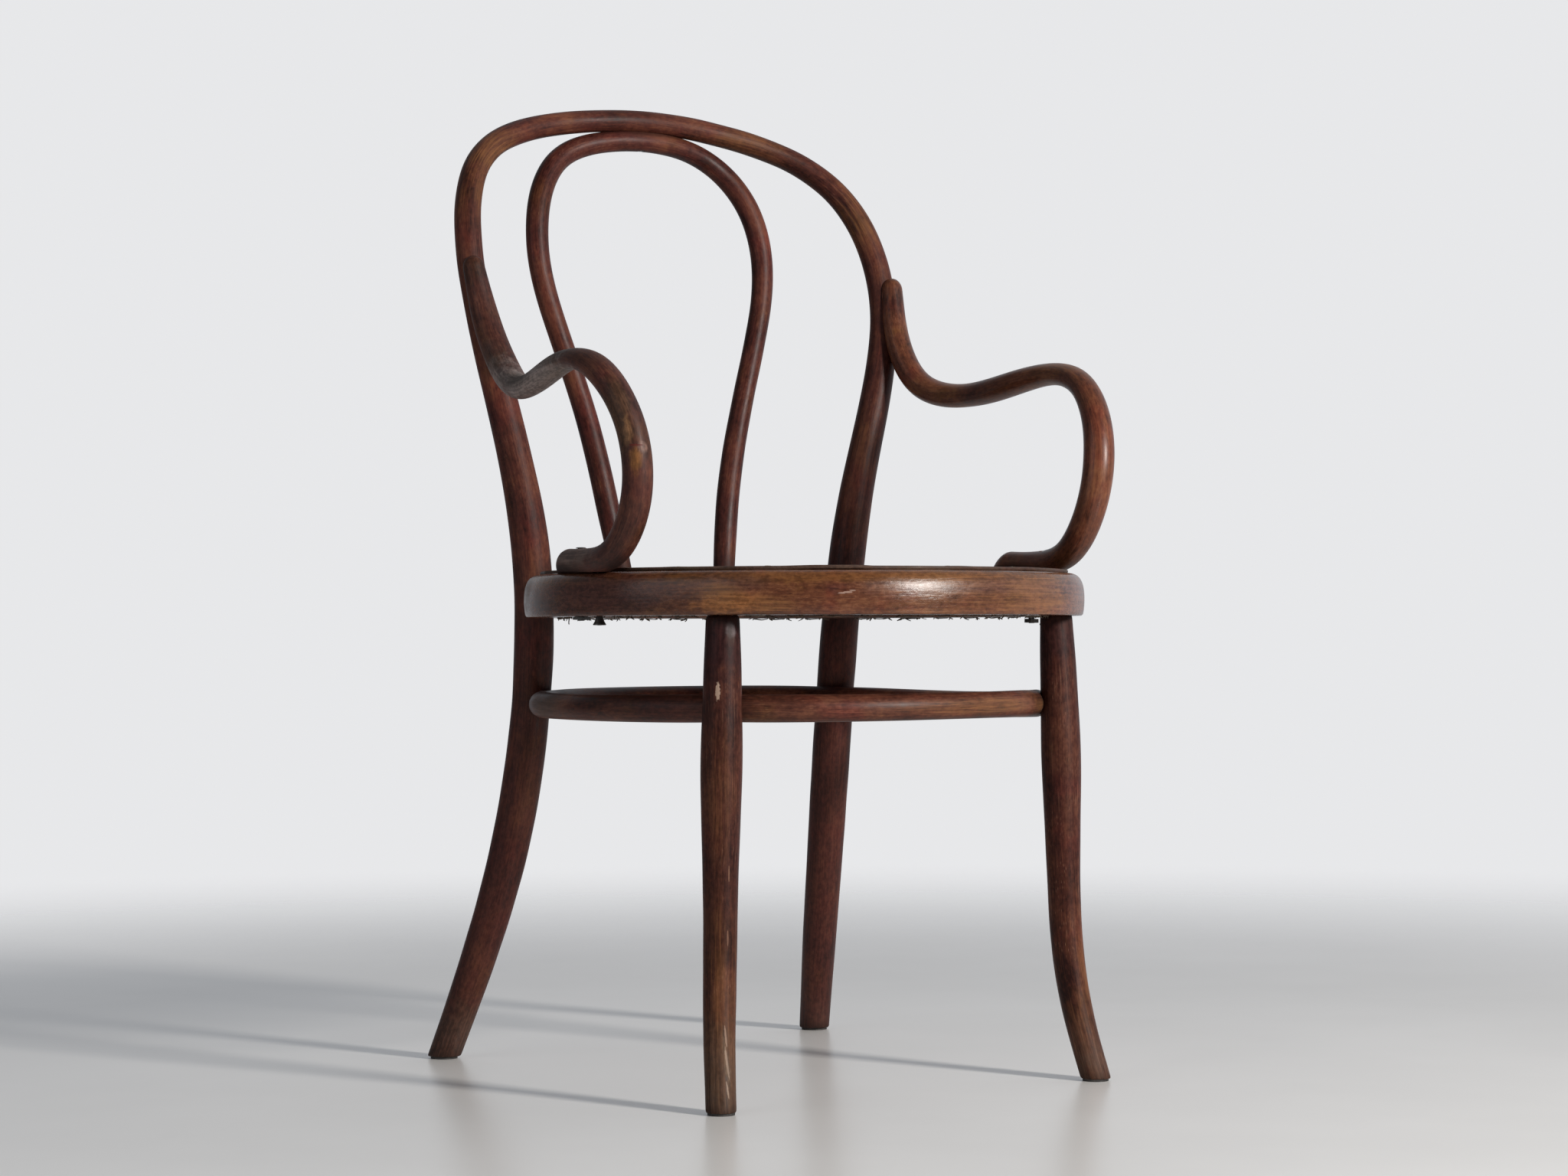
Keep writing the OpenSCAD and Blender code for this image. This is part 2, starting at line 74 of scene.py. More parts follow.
# each arm as it really bends: the far one fuller, the near one dropping lower at its elbow
ARM_FAR = [
    (236, 163.7, 751.3, 10, 10.5), (231.2, 145.2, 696.2, 12.1, 12.1), (235.5, 109.2, 652.3, 12.7, 12.5),
    (247, 53.3, 640, 11.7, 13.7), (252.4, -7.9, 645.6, 12, 14.8), (263.5, -68, 654.2, 10.7, 15.1),
    (261.5, -123.3, 638.4, 12, 13), (252.7, -158.1, 590.6, 14.5, 14.3), (245.6, -158.4, 530.5, 14.7, 14.3),
    (243.2, -122.7, 482.4, 13.2, 13.4), (243.7, -69.5, 473.1, 10.9, 11.8), (241.6, -27, 473.3, 11.4, 12.1)]
ARM_NEAR = [
    (237.3, 163.1, 752.7, 10, 10.5), (231.9, 145.2, 696.5, 13.2, 13.2), (231.3, 107.2, 649.9, 13.9, 13.7),
    (242.3, 51.7, 635.6, 10.5, 12.5), (250, -7.6, 645.7, 10.5, 13.3), (258.7, -69, 652.7, 9.5, 13.9),
    (260, -123.6, 636.5, 12.4, 13.4), (252.1, -158.3, 590.1, 13.6, 13.4), (246.7, -158.9, 529.7, 13.9, 13.5),
    (247.2, -123.8, 483.3, 12.8, 13), (245.2, -69.6, 473.6, 11.6, 12.8), (241.7, -26.9, 473.8, 11.9, 12.9)]
LEG = [
    (200, -216, 0, 13.3, 13.3), (191.5, -200, 62, 13.8, 13.8), (186, -192.5, 125, 14.3, 14.3),
    (184, -191, 187, 15, 15), (183, -191, 248, 16.8, 16.8), (182, -191, 304, 17.9, 17.9),
    (180.5, -190.5, 362, 16.6, 16.6), (179, -189.5, 418, 14.8, 14.8)]
SEAT_LO, SEAT_HI, SEAT_R, SEAT_W, PANEL_T, PANEL_R = 425, 461.8, 259.5, 42, 3.5, 245
RING_C = np.array([0, -39.0])
STR_C, STR_Z, STR_R, STR_D = np.array([0, -11.0]), 343.2, 242, 23.2
# the real seat stands a little out of level and is a touch deeper than drawn
SEAT_SLOPE, SEAT_GROW = (-0.0071, -0.0045), 2.0


def seat_low(x, y):
    return SEAT_LO + SEAT_SLOPE[0] * (x + 137) + SEAT_SLOPE[1] * (y + 259)


def seat_top(x, y):
    return seat_low(x, y) + SEAT_HI - SEAT_LO + SEAT_GROW


def mirrored(rows, turn=False):
    """The same rows on the other side; turned end for end if asked."""
    out = [(-r[0],) + tuple(r[1:]) for r in rows]
    return out[::-1] if turn else out


def unit(v):
    return v / np.maximum(np.linalg.norm(v, axis=-1, keepdims=True), 1e-12)


class Route:
    """Natural cubic spline through the rows, read by length along it."""

    def __init__(self, rows, ref):
        self.p = np.array(rows, float)
        self.ref = np.array(ref, float)
        n = len(self.p)
        a, b = np.zeros((n, n)), np.zeros_like(self.p)
        a[0, 0] = a[-1, -1] = 1
        for i in range(1, n - 1):
            a[i, i - 1:i + 2] = 1, 4, 1
            b[i] = 6 * (self.p[i - 1] - 2 * self.p[i] + self.p[i + 1])
        self.m = np.linalg.solve(a, b)
        self.t = np.linspace(0, n - 1, 6000)
        pts = self._at(self.t)[:, :3]
        self.s = np.concatenate([[0], np.cumsum(np.linalg.norm(np.diff(pts, axis=0), axis=1))])
        self.length = self.s[-1]

    def _split(self, t):
        t = np.clip(np.asarray(t, float), 0, len(self.p) - 1)
        i = np.minimum(t.astype(int), len(self.p) - 2)
        u = (t - i)[:, None]
        return i, u, 1 - u

    def _at(self, t):
        i, u, v = self._split(t)
        return v * self.p[i] + u * self.p[i + 1] + (v ** 3 - v) / 6 * self.m[i] + (u ** 3 - u) / 6 * self.m[i + 1]

    def _slope(self, t):
        i, u, v = self._split(t)
        return (self.p[i + 1] - self.p[i] + (1 - 3 * v ** 2) / 6 * self.m[i] + (3 * u ** 2 - 1) / 6 * self.m[i + 1])[:, :3]

    def at(self, s):
        """Centres, tangents, the two cross directions and the two half thicknesses at lengths s, run straight on past the ends."""
        s = np.asarray(s, float)
        t = np.interp(s, self.s, self.t)
        row, tan = self._at(t), unit(self._slope(t))
        over = s - np.clip(s, 0, self.length)
        side = unit(np.cross(tan, self.ref))
        return row[:, :3] + tan * over[:, None], tan, side, np.cross(side, tan), row[:, 3], row[:, 4]

    def at_z(self, z, lo=0.0, hi=None):
        """Length at which a rising or falling stretch passes height z."""
        s = np.linspace(lo, self.length if hi is None else hi, 4000)
        zz = self.at(s)[0][:, 2]
        return float(s[np.argmin(np.abs(zz - z))])


bow = Route(BOW_HALF + mirrored(BOW_HALF[:-1], True), (0, 1, 0))
hoop = Route(HOOP_HALF + mirrored(HOOP_HALF[:-1], True), (0, 1, 0))
arms = {"left": Route(ARM_FAR, (1, 0, 0)), "right": Route(mirrored(ARM_NEAR), (1, 0, 0))}
legs = {"left": Route(LEG, (0, 1, 0)), "right": Route(mirrored(LEG), (0, 1, 0))}


def waves(seed, count, s_scale, a_max):
    """A slow, repeatable unevenness of length and angle, about -1 to 1."""
    rng = np.random.RandomState(seed)
    parts = [(rng.uniform(0.3, 1) / s_scale, rng.randint(-a_max, a_max + 1), rng.uniform(0, 6.283), rng.uniform(0.5, 1)) for _ in range(count)]
    total = math.sqrt(sum(p[3] ** 2 for p in parts))

    def f(s, a):
        return sum(w * np.sin(6.283 * k * s + m * a + ph) for k, m, ph, w in parts) / total
    return f


# ---------------------------------------------------------------- meshes

def object_of(name, verts, faces, sharp=42.0):
    me = bpy.data.meshes.new(name)
    me.from_pydata([tuple(v) for v in np.asarray(verts, float)], [], faces)
    bm = bmesh.new()
    bm.from_mesh(me)
    bmesh.ops.recalc_face_normals(bm, faces=bm.faces)
    bm.to_mesh(me)
    bm.free()
    ob = bpy.data.objects.new(name, me)
    bpy.context.scene.collection.objects.link(ob)
    smooth(ob, sharp)
    return ob


def smooth(ob, sharp=42.0):
    ob.data.shade_smooth()
    ob.data.set_sharp_from_angle(angle=math.radians(sharp))


def tube_faces(m, n, loop=False):
    faces = []
    for i in range(m if loop else m - 1):
        k = (i + 1) % m
        for j in range(n):
            h = (j + 1) % n
            faces.append((i * n + j, k * n + j, k * n + h, i * n + h))
    if not loop:
        faces.append(tuple(range(n))[::-1])
        faces.append(tuple((m - 1) * n + j for j in range(n)))
    return faces


def spaced(lo, hi, step, extra=()):
    s = np.linspace(lo, hi, int(round((hi - lo) / step)) + 1)
    return np.unique(np.round(np.concatenate([s, np.array(list(extra), float)]), 4))


# the real rods are a little fuller than drawn, except where they are joined
JOINTS = [((57.5, 201, 462), 32), ((175, 167, 444), 45), ((165, 168, 343.2), 26), ((232, 170, 722), 45),
          ((179, -189.5, 425), 26), ((172, -181, 343.2), 26)]
BOW_FULL, HOOP_FULL, LEG_FULL, STR_FULL = 0.68, 0.55, 0.45, 0.5


def fuller(c, amount):
    """How much is added to a rod's half thickness at centres c."""
    q = np.concatenate([np.abs(c[:, :1]), c[:, 1:]], 1)
    out = amount * ease(q[:, 2], 20, 110)
    for at, reach in JOINTS:
        out = out * (1 - np.exp(-(((q - at) / reach) ** 2).sum(1)))
    return out


def rings_of(route, s, k, n, flat=None, uneven=0.0, seed=1, bumps=(), full=0.0):
    """Vertex rings in mm. k scales each ring, flat (0 to 1) turns it level with the floor."""
    c, t, side, up, h, w = route.at(s)
    h, w = h + fuller(c, full), w + fuller(c, full)
    a = 2 * math.pi * (np.arange(n) + 0.5) / n
    f = waves(seed, 9, 210.0, 2)(s[:, None], a[None, :]) * 0.7 + waves(seed + 50, 8, 45.0, 3)(s[:, None], a[None, :]) * 0.3
    grow = 1 + uneven * f / np.maximum(h, 1)[:, None]
    for s0, a0, ws, wa, amount in bumps:
        d = (np.angle(np.exp(1j * (a[None, :] - a0))) / wa) ** 2 + ((s[:, None] - s0) / ws) ** 2
        grow = grow + amount / h[:, None] * np.exp(-d)
    grow = grow * np.asarray(k)[:, None]
    r = (c[:, None] + side[:, None] * (h[:, None] * grow * np.cos(a))[..., None]
         + up[:, None] * (w[:, None] * grow * np.sin(a))[..., None])
    if flat is not None:
        slide = np.asarray(flat)[:, None] * (c[:, None, 2] - r[..., 2]) / t[:, None, 2]
        r = r + t[:, None] * slide[..., None]
    return r


def solid(name, rings, sharp=42.0, loop=False):
    m, n = rings.shape[:2]
    v = rings.reshape(-1, 3).copy()
    v[:, 2] += RISE
    return object_of(name, v * MM, tube_faces(m, n, loop), sharp)


def rod_space(ob, route, offset, step=1.5, closed=None):
    """Writes where each vertex lies in the straight rod, before it was bent, as the vector 'rod', in metres."""
    v = coords(ob) / MM
    v[:, 2] -= RISE
    if closed is None:
        s = spaced(-30, route.length + 30, step)
        c, t, side, up, _, _ = route.at(s)
        tree = KDTree(len(s))
        for i, p in enumerate(c):
            tree.insert(p, i)
        tree.balance()
        i = np.array([tree.find(p)[1] for p in v])
        d = v - c[i]
        rod = np.stack([(d * side[i]).sum(1), (d * up[i]).sum(1), s[i] + (d * t[i]).sum(1)], 1)
    else:
        centre, radius, z0 = closed
        d = v[:, :2] - centre
        rr, ang = np.hypot(d[:, 0], d[:, 1]), np.arctan2(d[:, 1], d[:, 0])
        ang = np.mod(ang - math.radians(135), 2 * math.pi)      # the scarf joint lies at the back
        rod = np.stack([rr - radius, v[:, 2] - z0, ang * radius], 1)
    write(ob, "rod", (rod + np.array(offset)) * MM)


def coords(ob):
    co = np.zeros(len(ob.data.vertices) * 3)
    ob.data.vertices.foreach_get("co", co)
    return co.reshape(-1, 3)


def write(ob, name, vectors):
    at = ob.data.attributes.get(name) or ob.data.attributes.new(name, "FLOAT_VECTOR", "POINT")
    at.data.foreach_set("vector", np.ascontiguousarray(vectors, np.float32).ravel())


def ease(x, lo, hi):
    x = np.clip((x - lo) / (hi - lo), 0, 1)
    return x * x * (3 - 2 * x)


def paint(ob, blobs=(), low=None):
    """Age of the surface as the vector 'age': grey wear, rubbed through to warm wood, grime. At a few places the grey
    channel holds painted grey sheens and painted highlights instead of wear. Blobs are (x, y, z, rx, ry, rz, channel,
    amount) in mm."""
    v = coords(ob) / MM
    age = np.zeros((len(v), 3))
    for x, y, z, rx, ry, rz, ch, amount in blobs:
        d = np.sqrt(((v[:, 0] - x) / rx) ** 2 + ((v[:, 1] - y) / ry) ** 2 + ((v[:, 2] - z) / rz) ** 2)
        age[:, ch] = np.maximum(age[:, ch], amount * (1 - ease(d, 0.35, 1.0)))
    if low is not None:
        age = np.maximum(age, low(v))
    write(ob, "age", age)


def cut(ob, cutters, solver="EXACT"):
    """Takes the cutters out of the piece and removes them."""
    for c in cutters:
        mod = ob.modifiers.new("cut", "BOOLEAN")
        mod.operation, mod.object, mod.solver = "DIFFERENCE", c, solver
    dg = bpy.context.evaluated_depsgraph_get()
    me = bpy.data.meshes.new_from_object(ob.evaluated_get(dg))
    old = ob.data
    ob.modifiers.clear()
    ob.data = me
    bpy.data.meshes.remove(old)
    me.name = ob.name
    for c in cutters:
        old = c.data
        bpy.data.objects.remove(c)
        bpy.data.meshes.remove(old)
    smooth(ob)


def pegs(name, rows, n=24):
    """One mesh of separate closed cylinders: (start, direction, radius, length) in mm, z as in the routes."""
    verts, faces = [], []
    for p, d, r, l in rows:
        d = unit(np.array(d, float))
        a = unit(np.cross(d, [0.3, 0.2, 0.9] if abs(d[2]) < 0.9 else [1, 0, 0]))
        b = np.cross(d, a)
        base = len(verts)
        for off in (0, l):
            for j in range(n):
                q = 2 * math.pi * j / n
                verts.append(np.array(p, float) + d * off + r * (a * math.cos(q) + b * math.sin(q)))
        for j in range(n):
            k = (j + 1) % n
            faces.append((base + j, base + k, base + n + k, base + n + j))
        faces.append(tuple(base + j for j in range(n))[::-1])
        faces.append(tuple(base + n + j for j in range(n)))
    v = np.array(verts)
    v[:, 2] += RISE
    return object_of(name, v * MM, faces)


def turned(name, rows, n=28, sharp=35.0):
    """One mesh of turned pieces: (start, direction, profile), the profile as (radius, way along) in mm."""
    verts, faces = [], []
    for p, d, prof in rows:
        d = unit(np.array(d, float))
        a = unit(np.cross(d, [0.3, 0.2, 0.9] if abs(d[2]) < 0.9 else [1, 0, 0]))
        b = np.cross(d, a)
        base = len(verts)
        for rr, z in prof:
            for j in range(n):
                q = 2 * math.pi * j / n
                verts.append(np.array(p, float) + d * z + rr * (a * math.cos(q) + b * math.sin(q)))
        faces += [tuple(base + x for x in face) for face in tube_faces(len(prof), n)]
    v = np.array(verts)
    v[:, 2] += RISE
    return object_of(name, v * MM, faces, sharp)


def blocks(name, rows, sharp=30.0):
    """One mesh of straight blocks: (centre, direction of depth, turn in degrees, long, wide, deep) in mm."""
    verts, faces = [], []
    for p, d, turn, x, y, z in rows:
        d = unit(np.array(d, float))
        a = unit(np.cross(d, [0.3, 0.2, 0.9] if abs(d[2]) < 0.9 else [1, 0, 0]))
        b = np.cross(d, a)
        q = math.radians(turn)
        a, b = a * math.cos(q) + b * math.sin(q), b * math.cos(q) - a * math.sin(q)
        base = len(verts)
        for i in (-0.5, 0.5):
            for j in (-0.5, 0.5):
                for k in (-0.5, 0.5):
                    verts.append(np.array(p, float) + a * x * i + b * y * j + d * z * k)
        faces += [tuple(base + t for t in face) for face in
                  ((0, 1, 3, 2), (4, 6, 7, 5), (0, 4, 5, 1), (2, 3, 7, 6), (0, 2, 6, 4), (1, 5, 7, 3))]
    v = np.array(verts)
    v[:, 2] += RISE
    return object_of(name, v * MM, faces, sharp)


def stand_for(ob, slot, *names):
    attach(ob, "root")
    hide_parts(*names)
    return ob


# where things meet, in mm

def bow_at(z):
    s = bow.at_z(z, 0, bow.length / 2)
    c, t, _, _, h, _ = bow.at([s])
    return c[0], t[0], h[0]


def arm_at(z):
    s = arms["left"].at_z(z, 0, 140)
    return arms["left"].at([s])[0][0]


bow_mid = bow_at(444)[0]
BOW_OUT = unit(np.array([bow_mid[0] - RING_C[0], bow_mid[1] - RING_C[1], 0]))
rear_low, front_low = bow_at(STR_Z), legs["left"].at([legs["left"].at_z(STR_Z)])
REAR_OUT = unit(np.array([rear_low[0][0], rear_low[0][1] - STR_C[1], 0]))
FRONT_OUT = unit(np.array([front_low[0][0][0], front_low[0][0][1] - STR_C[1], 0]))
SCREW_ZS = (712, 744)


def screw_line(z):
    c, _, h = bow_at(z)
    d = arm_at(z) - c
    d[2] = 0
    return c, unit(d), h


def flipped(rows):
    return rows + [((-p[0],) + tuple(p[1:]), (-d[0],) + tuple(d[1:]), r, l) for p, d, r, l in [(tuple(a), tuple(b), c, e) for a, b, c, e in rows]]


# ---------------------------------------------------------------- back bow

s = spaced(0, bow.length, 3.0)
s = np.concatenate([[-1.2, -0.9, -0.3, 0.8], s[s > 2], ])
s = np.concatenate([s[s < bow.length - 2], bow.length - np.array([0.8, -0.3, -0.9, -1.2])])
end = np.minimum(s + 1.2, bow.length + 1.2 - s)
k = 1 - 0.045 * (1 - np.clip(end / 1.9, 0, 1)) ** 2
flat = 1 - ease(np.minimum(s, bow.length - s), 0, 34)
r = rings_of(bow, s, k, 48, flat, 0.22, 11, full=BOW_FULL)
# its underside is bedded on the hoop's crest
hc, _, _, hup, _, hw = hoop.at(spaced(hoop.length / 2 - 100, hoop.length / 2, 1.0))
crest = (hc + hup * np.sign(hup[:, 2:]) * (hw + HOOP_FULL)[:, None])[::-1]
off = np.abs(r[..., 0])
bed = np.minimum(np.interp(off, np.abs(crest[:, 0]), crest[:, 2]), 908.4) + 0.05 + 0.15 * ease(off, 8, 16)
r[..., 2] = np.where(off < 60, np.maximum(r[..., 2], bed), r[..., 2])
back_bow = solid("bow", r)
rows = []
for z in SCREW_ZS:
    c, d, h = screw_line(z)
    rows.append((c - d * (h + 6), d, 4.7, 9.4))
cut(back_bow, [pegs("peg", flipped(rows))])
rod_space(back_bow, bow, (3, 5, 0))
paint(back_bow, [
    (172, 175, 470, 40, 40, 26, 2, 0.9), (-172, 175, 470, 40, 40, 26, 2, 0.9),
    (172, 175, 424, 40, 40, 22, 2, 0.8), (-172, 175, 424, 40, 40, 22, 2, 0.8),
    (172, 178, 347, 40, 40, 24, 2, 0.6), (-172, 178, 347, 40, 40, 24, 2, 0.6),
    (232, 170, 730, 18, 30, 60, 2, 0.55), (-232, 170, 730, 18, 30, 60, 2, 0.55),
    (0, 260, 905, 90, 30, 8, 2, 0.7),
    (-186, 222, 880, 70, 40, 40, 1, 0.55), (120, 258, 905, 60, 30, 22, 1, 0.35), (222, 205, 832, 40, 40, 60, 1, 0.5),
    (-222, 205, 820, 30, 40, 60, 1, 0.3), (196, 160, 580, 18, 20, 60, 1, 0.35),
], low=lambda v: np.stack([np.where(v[:, 0] < 0, 0.75, 0.22) * (1 - ease(v[:, 2], 8, 60)), 0 * v[:, 2], 0.8 * (1 - ease(v[:, 2], 3, 16))], 1))
stand_for(back_bow, "bow_wood", "back_bow")

# ---------------------------------------------------------------- inner hoop

s = spaced(-22, hoop.length + 22, 2.8)
r = rings_of(hoop, s, np.ones(len(s)), 40, None, 0.18, 23, full=HOOP_FULL)
mid = np.abs(r[..., 0]) < 52
r[..., 2] = np.where(mid, np.minimum(r[..., 2], 908.4), r[..., 2])
back_hoop = solid("hoop", r)
cut(back_hoop, [pegs("peg", [((0, 260, 880), (0, 0, 1), 4.2, 11.4)])])
rod_space(back_hoop, hoop, (-4, 2, 700))
paint(back_hoop, [
    (57, 200, 468, 24, 24, 30, 2, 0.9), (-57, 200, 468, 24, 24, 30, 2, 0.9),
    (0, 260, 912, 90, 30, 9, 2, 0.7), (-122, 246, 815, 14, 20, 50, 1, 0.3), (118, 240, 720, 16, 20, 60, 1, 0.25)])
stand_for(back_hoop, "hoop_wood", "back_hoop")

# ---------------------------------------------------------------- arms

bow_s = spaced(0, bow.length, 1.0)
bow_c, bow_t, _, _, bow_h, _ = bow.at(bow_s)
bow_h = bow_h + fuller(bow_c, BOW_FULL)
bow_tree = KDTree(len(bow_s))
for i, p in enumerate(bow_c):
    bow_tree.insert(p, i)
bow_tree.balance()


def hollow(r, gap=0.12):
    """Moves ring points that lie within the bow out to its surface: the arm is cut to fit round it."""
    flat_r = r.reshape(-1, 3)
    for j in np.nonzero(flat_r[:, 2] > 640)[0]:
        q = flat_r[j]
        i = bow_tree.find(q)[1]
        d = q - bow_c[i]
        f = d - d.dot(bow_t[i]) * bow_t[i]
        need = bow_h[i] + gap
        size = np.linalg.norm(f)
        if size < need:
            flat_r[j] = q + f / max(size, 1e-6) * (need - size)
    return flat_r.reshape(r.shape)


ARM_BLOBS = {
    "left": [
        (243, -60, 474, 30, 75, 16, 0, 0.45), (243, -40, 470, 30, 60, 9, 2, 0.9), (246, -130, 470, 30, 30, 14, 2, 0.9),
        (236, 150, 735, 10, 10, 50, 2, 0.35), (262, -60, 662, 30, 80, 12, 1, 0.35), (256, -172, 590, 30, 14, 60, 1, 0.25)],
    "right": [
        # the grey on top of the near arm's foot is partly wear, partly a painted grey sheen
        (-243, -60, 478, 30, 75, 16, 0, 0.6), (-243, -40, 470, 30, 60, 9, 2, 0.9), (-246, -130, 470, 30, 30, 14, 2, 0.9),
        (-252, 50, 650, 30, 70, 16, 0, 0.95), (-262, -30, 662, 30, 80, 14, 0, 0.9), (-244, 110, 672, 20, 40, 24, 0, 0.6),
        (-250, -172, 535, 22, 22, 26, 2, 0.30),
        (-268, -112, 655, 20, 40, 12, 2, 0.4)]}
for side, seed in (("left", 31), ("right", 37)):
    route = arms[side]
    phi = np.linspace(0, math.pi / 2, 11)[::-1][:-1]
    pre, kp = -13 * np.sin(phi), np.cos(phi) ** 0.9
    phi = np.linspace(0, math.pi / 2, 15)[1:]
    s = spaced(0, route.length - 5, 2.4)
    post = route.length - 5 + (31 if side == "left" else 27) * np.sin(phi)
    kq = (1 - np.sin(phi) ** 1.6) ** 0.9
    # the last ring of each rounded end is tiny, not a point
    k = np.concatenate([np.maximum(kp, 0.06), np.ones(len(s)), np.maximum(kq, 0.12)])
    s = np.concatenate([pre, s, post])
    bumps = []
    if side == "right":         # an old crack across the front bend, hardly opened
        at = route.at_z(578, 300, 480)
        bumps = [(at, math.pi * 1.0, 1.6, 0.7, -0.35)]
    r = rings_of(route, s, k, 44, None, 0.2, seed, bumps)
    # the toe slopes down on to the seat frame
    toe = s > route.length - 4.9
    r[toe, :, 2] -= ((1 - k[toe]) * route.at([route.length])[4][0])[:, None]
    r = hollow(r)
    r[..., 2] = np.maximum(r[..., 2], seat_top(r[..., 0], r[..., 1]) + 0.02)
    arm = solid("arm_" + side + "_rod", r)
    sx = 1 if side == "left" else -1
    cut(arm, [pegs("peg", [((sx * 243, -85, 481.4), (0, 0, 1), 5.6, 12)])])
    rod_space(arm, route, (2, -3, 2900 if side == "left" else 4100))
    paint(arm, ARM_BLOBS[side])
    stand_for(arm, "arm_wood", "arm_" + side)

# ---------------------------------------------------------------- front legs

for side, seed in (("left", 41), ("right", 47)):
    route = legs[side]
    s = spaced(0, route.length, 3.0)
    s = np.concatenate([[-1.2, -0.9, -0.3, 0.8], s[s > 2]])
    k = 1 - 0.045 * (1 - np.clip((s + 1.2) / 1.9, 0, 1)) ** 2
    flat = np.maximum(1 - ease(s, 0, 30), ease(s, route.length - 30, route.length))
    top = np.array([[0.992, 2.2], [0.975, 4], [0.95, 5.2], [0.91, 6.2], [0.86, 6.94], [0.64, 6.96], [0.64, 20], [0.64, 33], [0.58, 35]])
    r = rings_of(route, np.concatenate([s, route.length + top[:, 1]]), np.concatenate([k, top[:, 0]]), 48,
                 np.concatenate([flat, np.ones(len(top))]), 0.2, seed, full=LEG_FULL)
    below = len(s) + 5          # rings up to the shoulder's rim
    r[:below, :, 2] = np.minimum(r[:below, :, 2], seat_low(r[:below, :, 0], r[:below, :, 1]) - 0.04)
    leg = solid("leg_" + side, r)
    rod_space(leg, route, (-2, 4, 5200 if side == "left" else 6100))
    sx = 1 if side == "left" else -1
    blobs = [(sx * 179, -190, 431, 30, 30, 24, 2, 0.75), (sx * 181, -190, 347, 40, 22, 24, 2, 0.45)]
    if side == "right":
        # the small grey spot at the leg's top is a painted highlight
        blobs += [(-180, -206, 413, 6, 8, 14, 0, 0.5), (-199, -208, 120, 14, 14, 120, 1, 0.28), (-190, -205, 270, 20, 14, 90, 1, 0.18)]
    else:
        blobs += [(196, -205, 80, 16, 22, 90, 1, 0.35)]
    paint(leg, blobs, low=lambda v: np.stack([0.60 * (1 - ease(v[:, 2], 10, 90)), 0.20 * (1 - ease(v[:, 2], 60, 210)),
                                              0.7 * (1 - ease(v[:, 2], 3, 12))], 1))
    stand_for(leg, "leg_wood", "front_leg_" + side)

# ---------------------------------------------------------------- seat frame

ring_in = SEAT_R - SEAT_W
sec = []
for a in np.linspace(90, 0, 20):
    sec.append((SEAT_R - 14 + 14 * max(math.cos(math.radians(a)), 0) ** 0.76, 438 + (SEAT_HI - 438) * math.sin(math.radians(a)) ** 0.76))
sec += [(SEAT_R - 0.1, 435.5), (SEAT_R - 0.3, 433), (SEAT_R - 0.5, 431), (SEAT_R - 0.8, 429), (SEAT_R - 1.1, 427.4), (SEAT_R - 1.5, 426.3),
        (SEAT_R - 2.1, 425.5), (SEAT_R - 3, 425.08), (SEAT_R - 4.5, 425), (SEAT_R - 9, 425), (SEAT_R - 17, 425), (SEAT_R - 25, 425), (SEAT_R - 33, 425)]
for a in np.linspace(0, 90, 7):
    sec.append((ring_in + 3 - 3 * math.sin(math.radians(a)), 428 - 3 * math.cos(math.radians(a))))
for z in (434, 441, 448, 454):
    sec.append((ring_in, z))
for a in np.linspace(0, 90, 7):
    sec.append((ring_in + 3 - 3 * math.cos(math.radians(a)), SEAT_HI - 3 + 3 * math.sin(math.radians(a))))
sec += [(ring_in + 10, SEAT_HI), (ring_in + 18, SEAT_HI)]
sec = np.array(sec[::-1])
M = 420
ang = 2 * math.pi * np.arange(M) / M
soft = waves(61, 10, 260.0, 2)
soft2 = waves(63, 9, 60.0, 3)
face_a = np.arctan2(sec[:, 1] - 443, sec[:, 0] - (SEAT_R - 21))
d = 0.30 * soft(ang[:, None] * 260, face_a[None, :]) + 0.12 * soft2(ang[:, None] * 260, face_a[None, :])
outer = ease(sec[:, 0], SEAT_R - 14, SEAT_R - 6)[None, :] * (sec[:, 1] < SEAT_HI - 0.5) * (sec[:, 1] > 425.01)
# the wave has whole periods round the ring only after it is faded at the back joint
fade = ease(np.abs(np.angle(np.exp(1j * (ang - math.pi / 2)))), 0.02, 0.25)[:, None]
rad = sec[None, :, 0] + d * outer * fade
r = np.stack([RING_C[0] + rad * np.cos(ang)[:, None], RING_C[1] + rad * np.sin(ang)[:, None],
              np.broadcast_to(sec[None, :, 1], rad.shape)], 2)
r[..., 2] = seat_low(r[..., 0], r[..., 1]) + (r[..., 2] - SEAT_LO) * (1 + SEAT_GROW / (SEAT_HI - SEAT_LO))
seat_ring = solid("seat_frame", r, loop=True)
CANE_N = 84


def cane_angle(i):
    return 2 * math.pi * (i + 0.5) / CANE_N


def cane_at(i):
    return np.array([RING_C[0] + 228 * math.cos(cane_angle(i)), RING_C[1] + 228 * math.sin(cane_angle(i))])


def cane_ok(i):
    p = cane_at(i % CANE_N)

    def far(q, d):
        return math.hypot(abs(p[0]) - q[0], p[1] - q[1]) > d
    return far((179, -189.5), 18) and far((57, 199), 19) and far((BOW_OUT[0] * 228, RING_C[1] + BOW_OUT[1] * 228), 12)


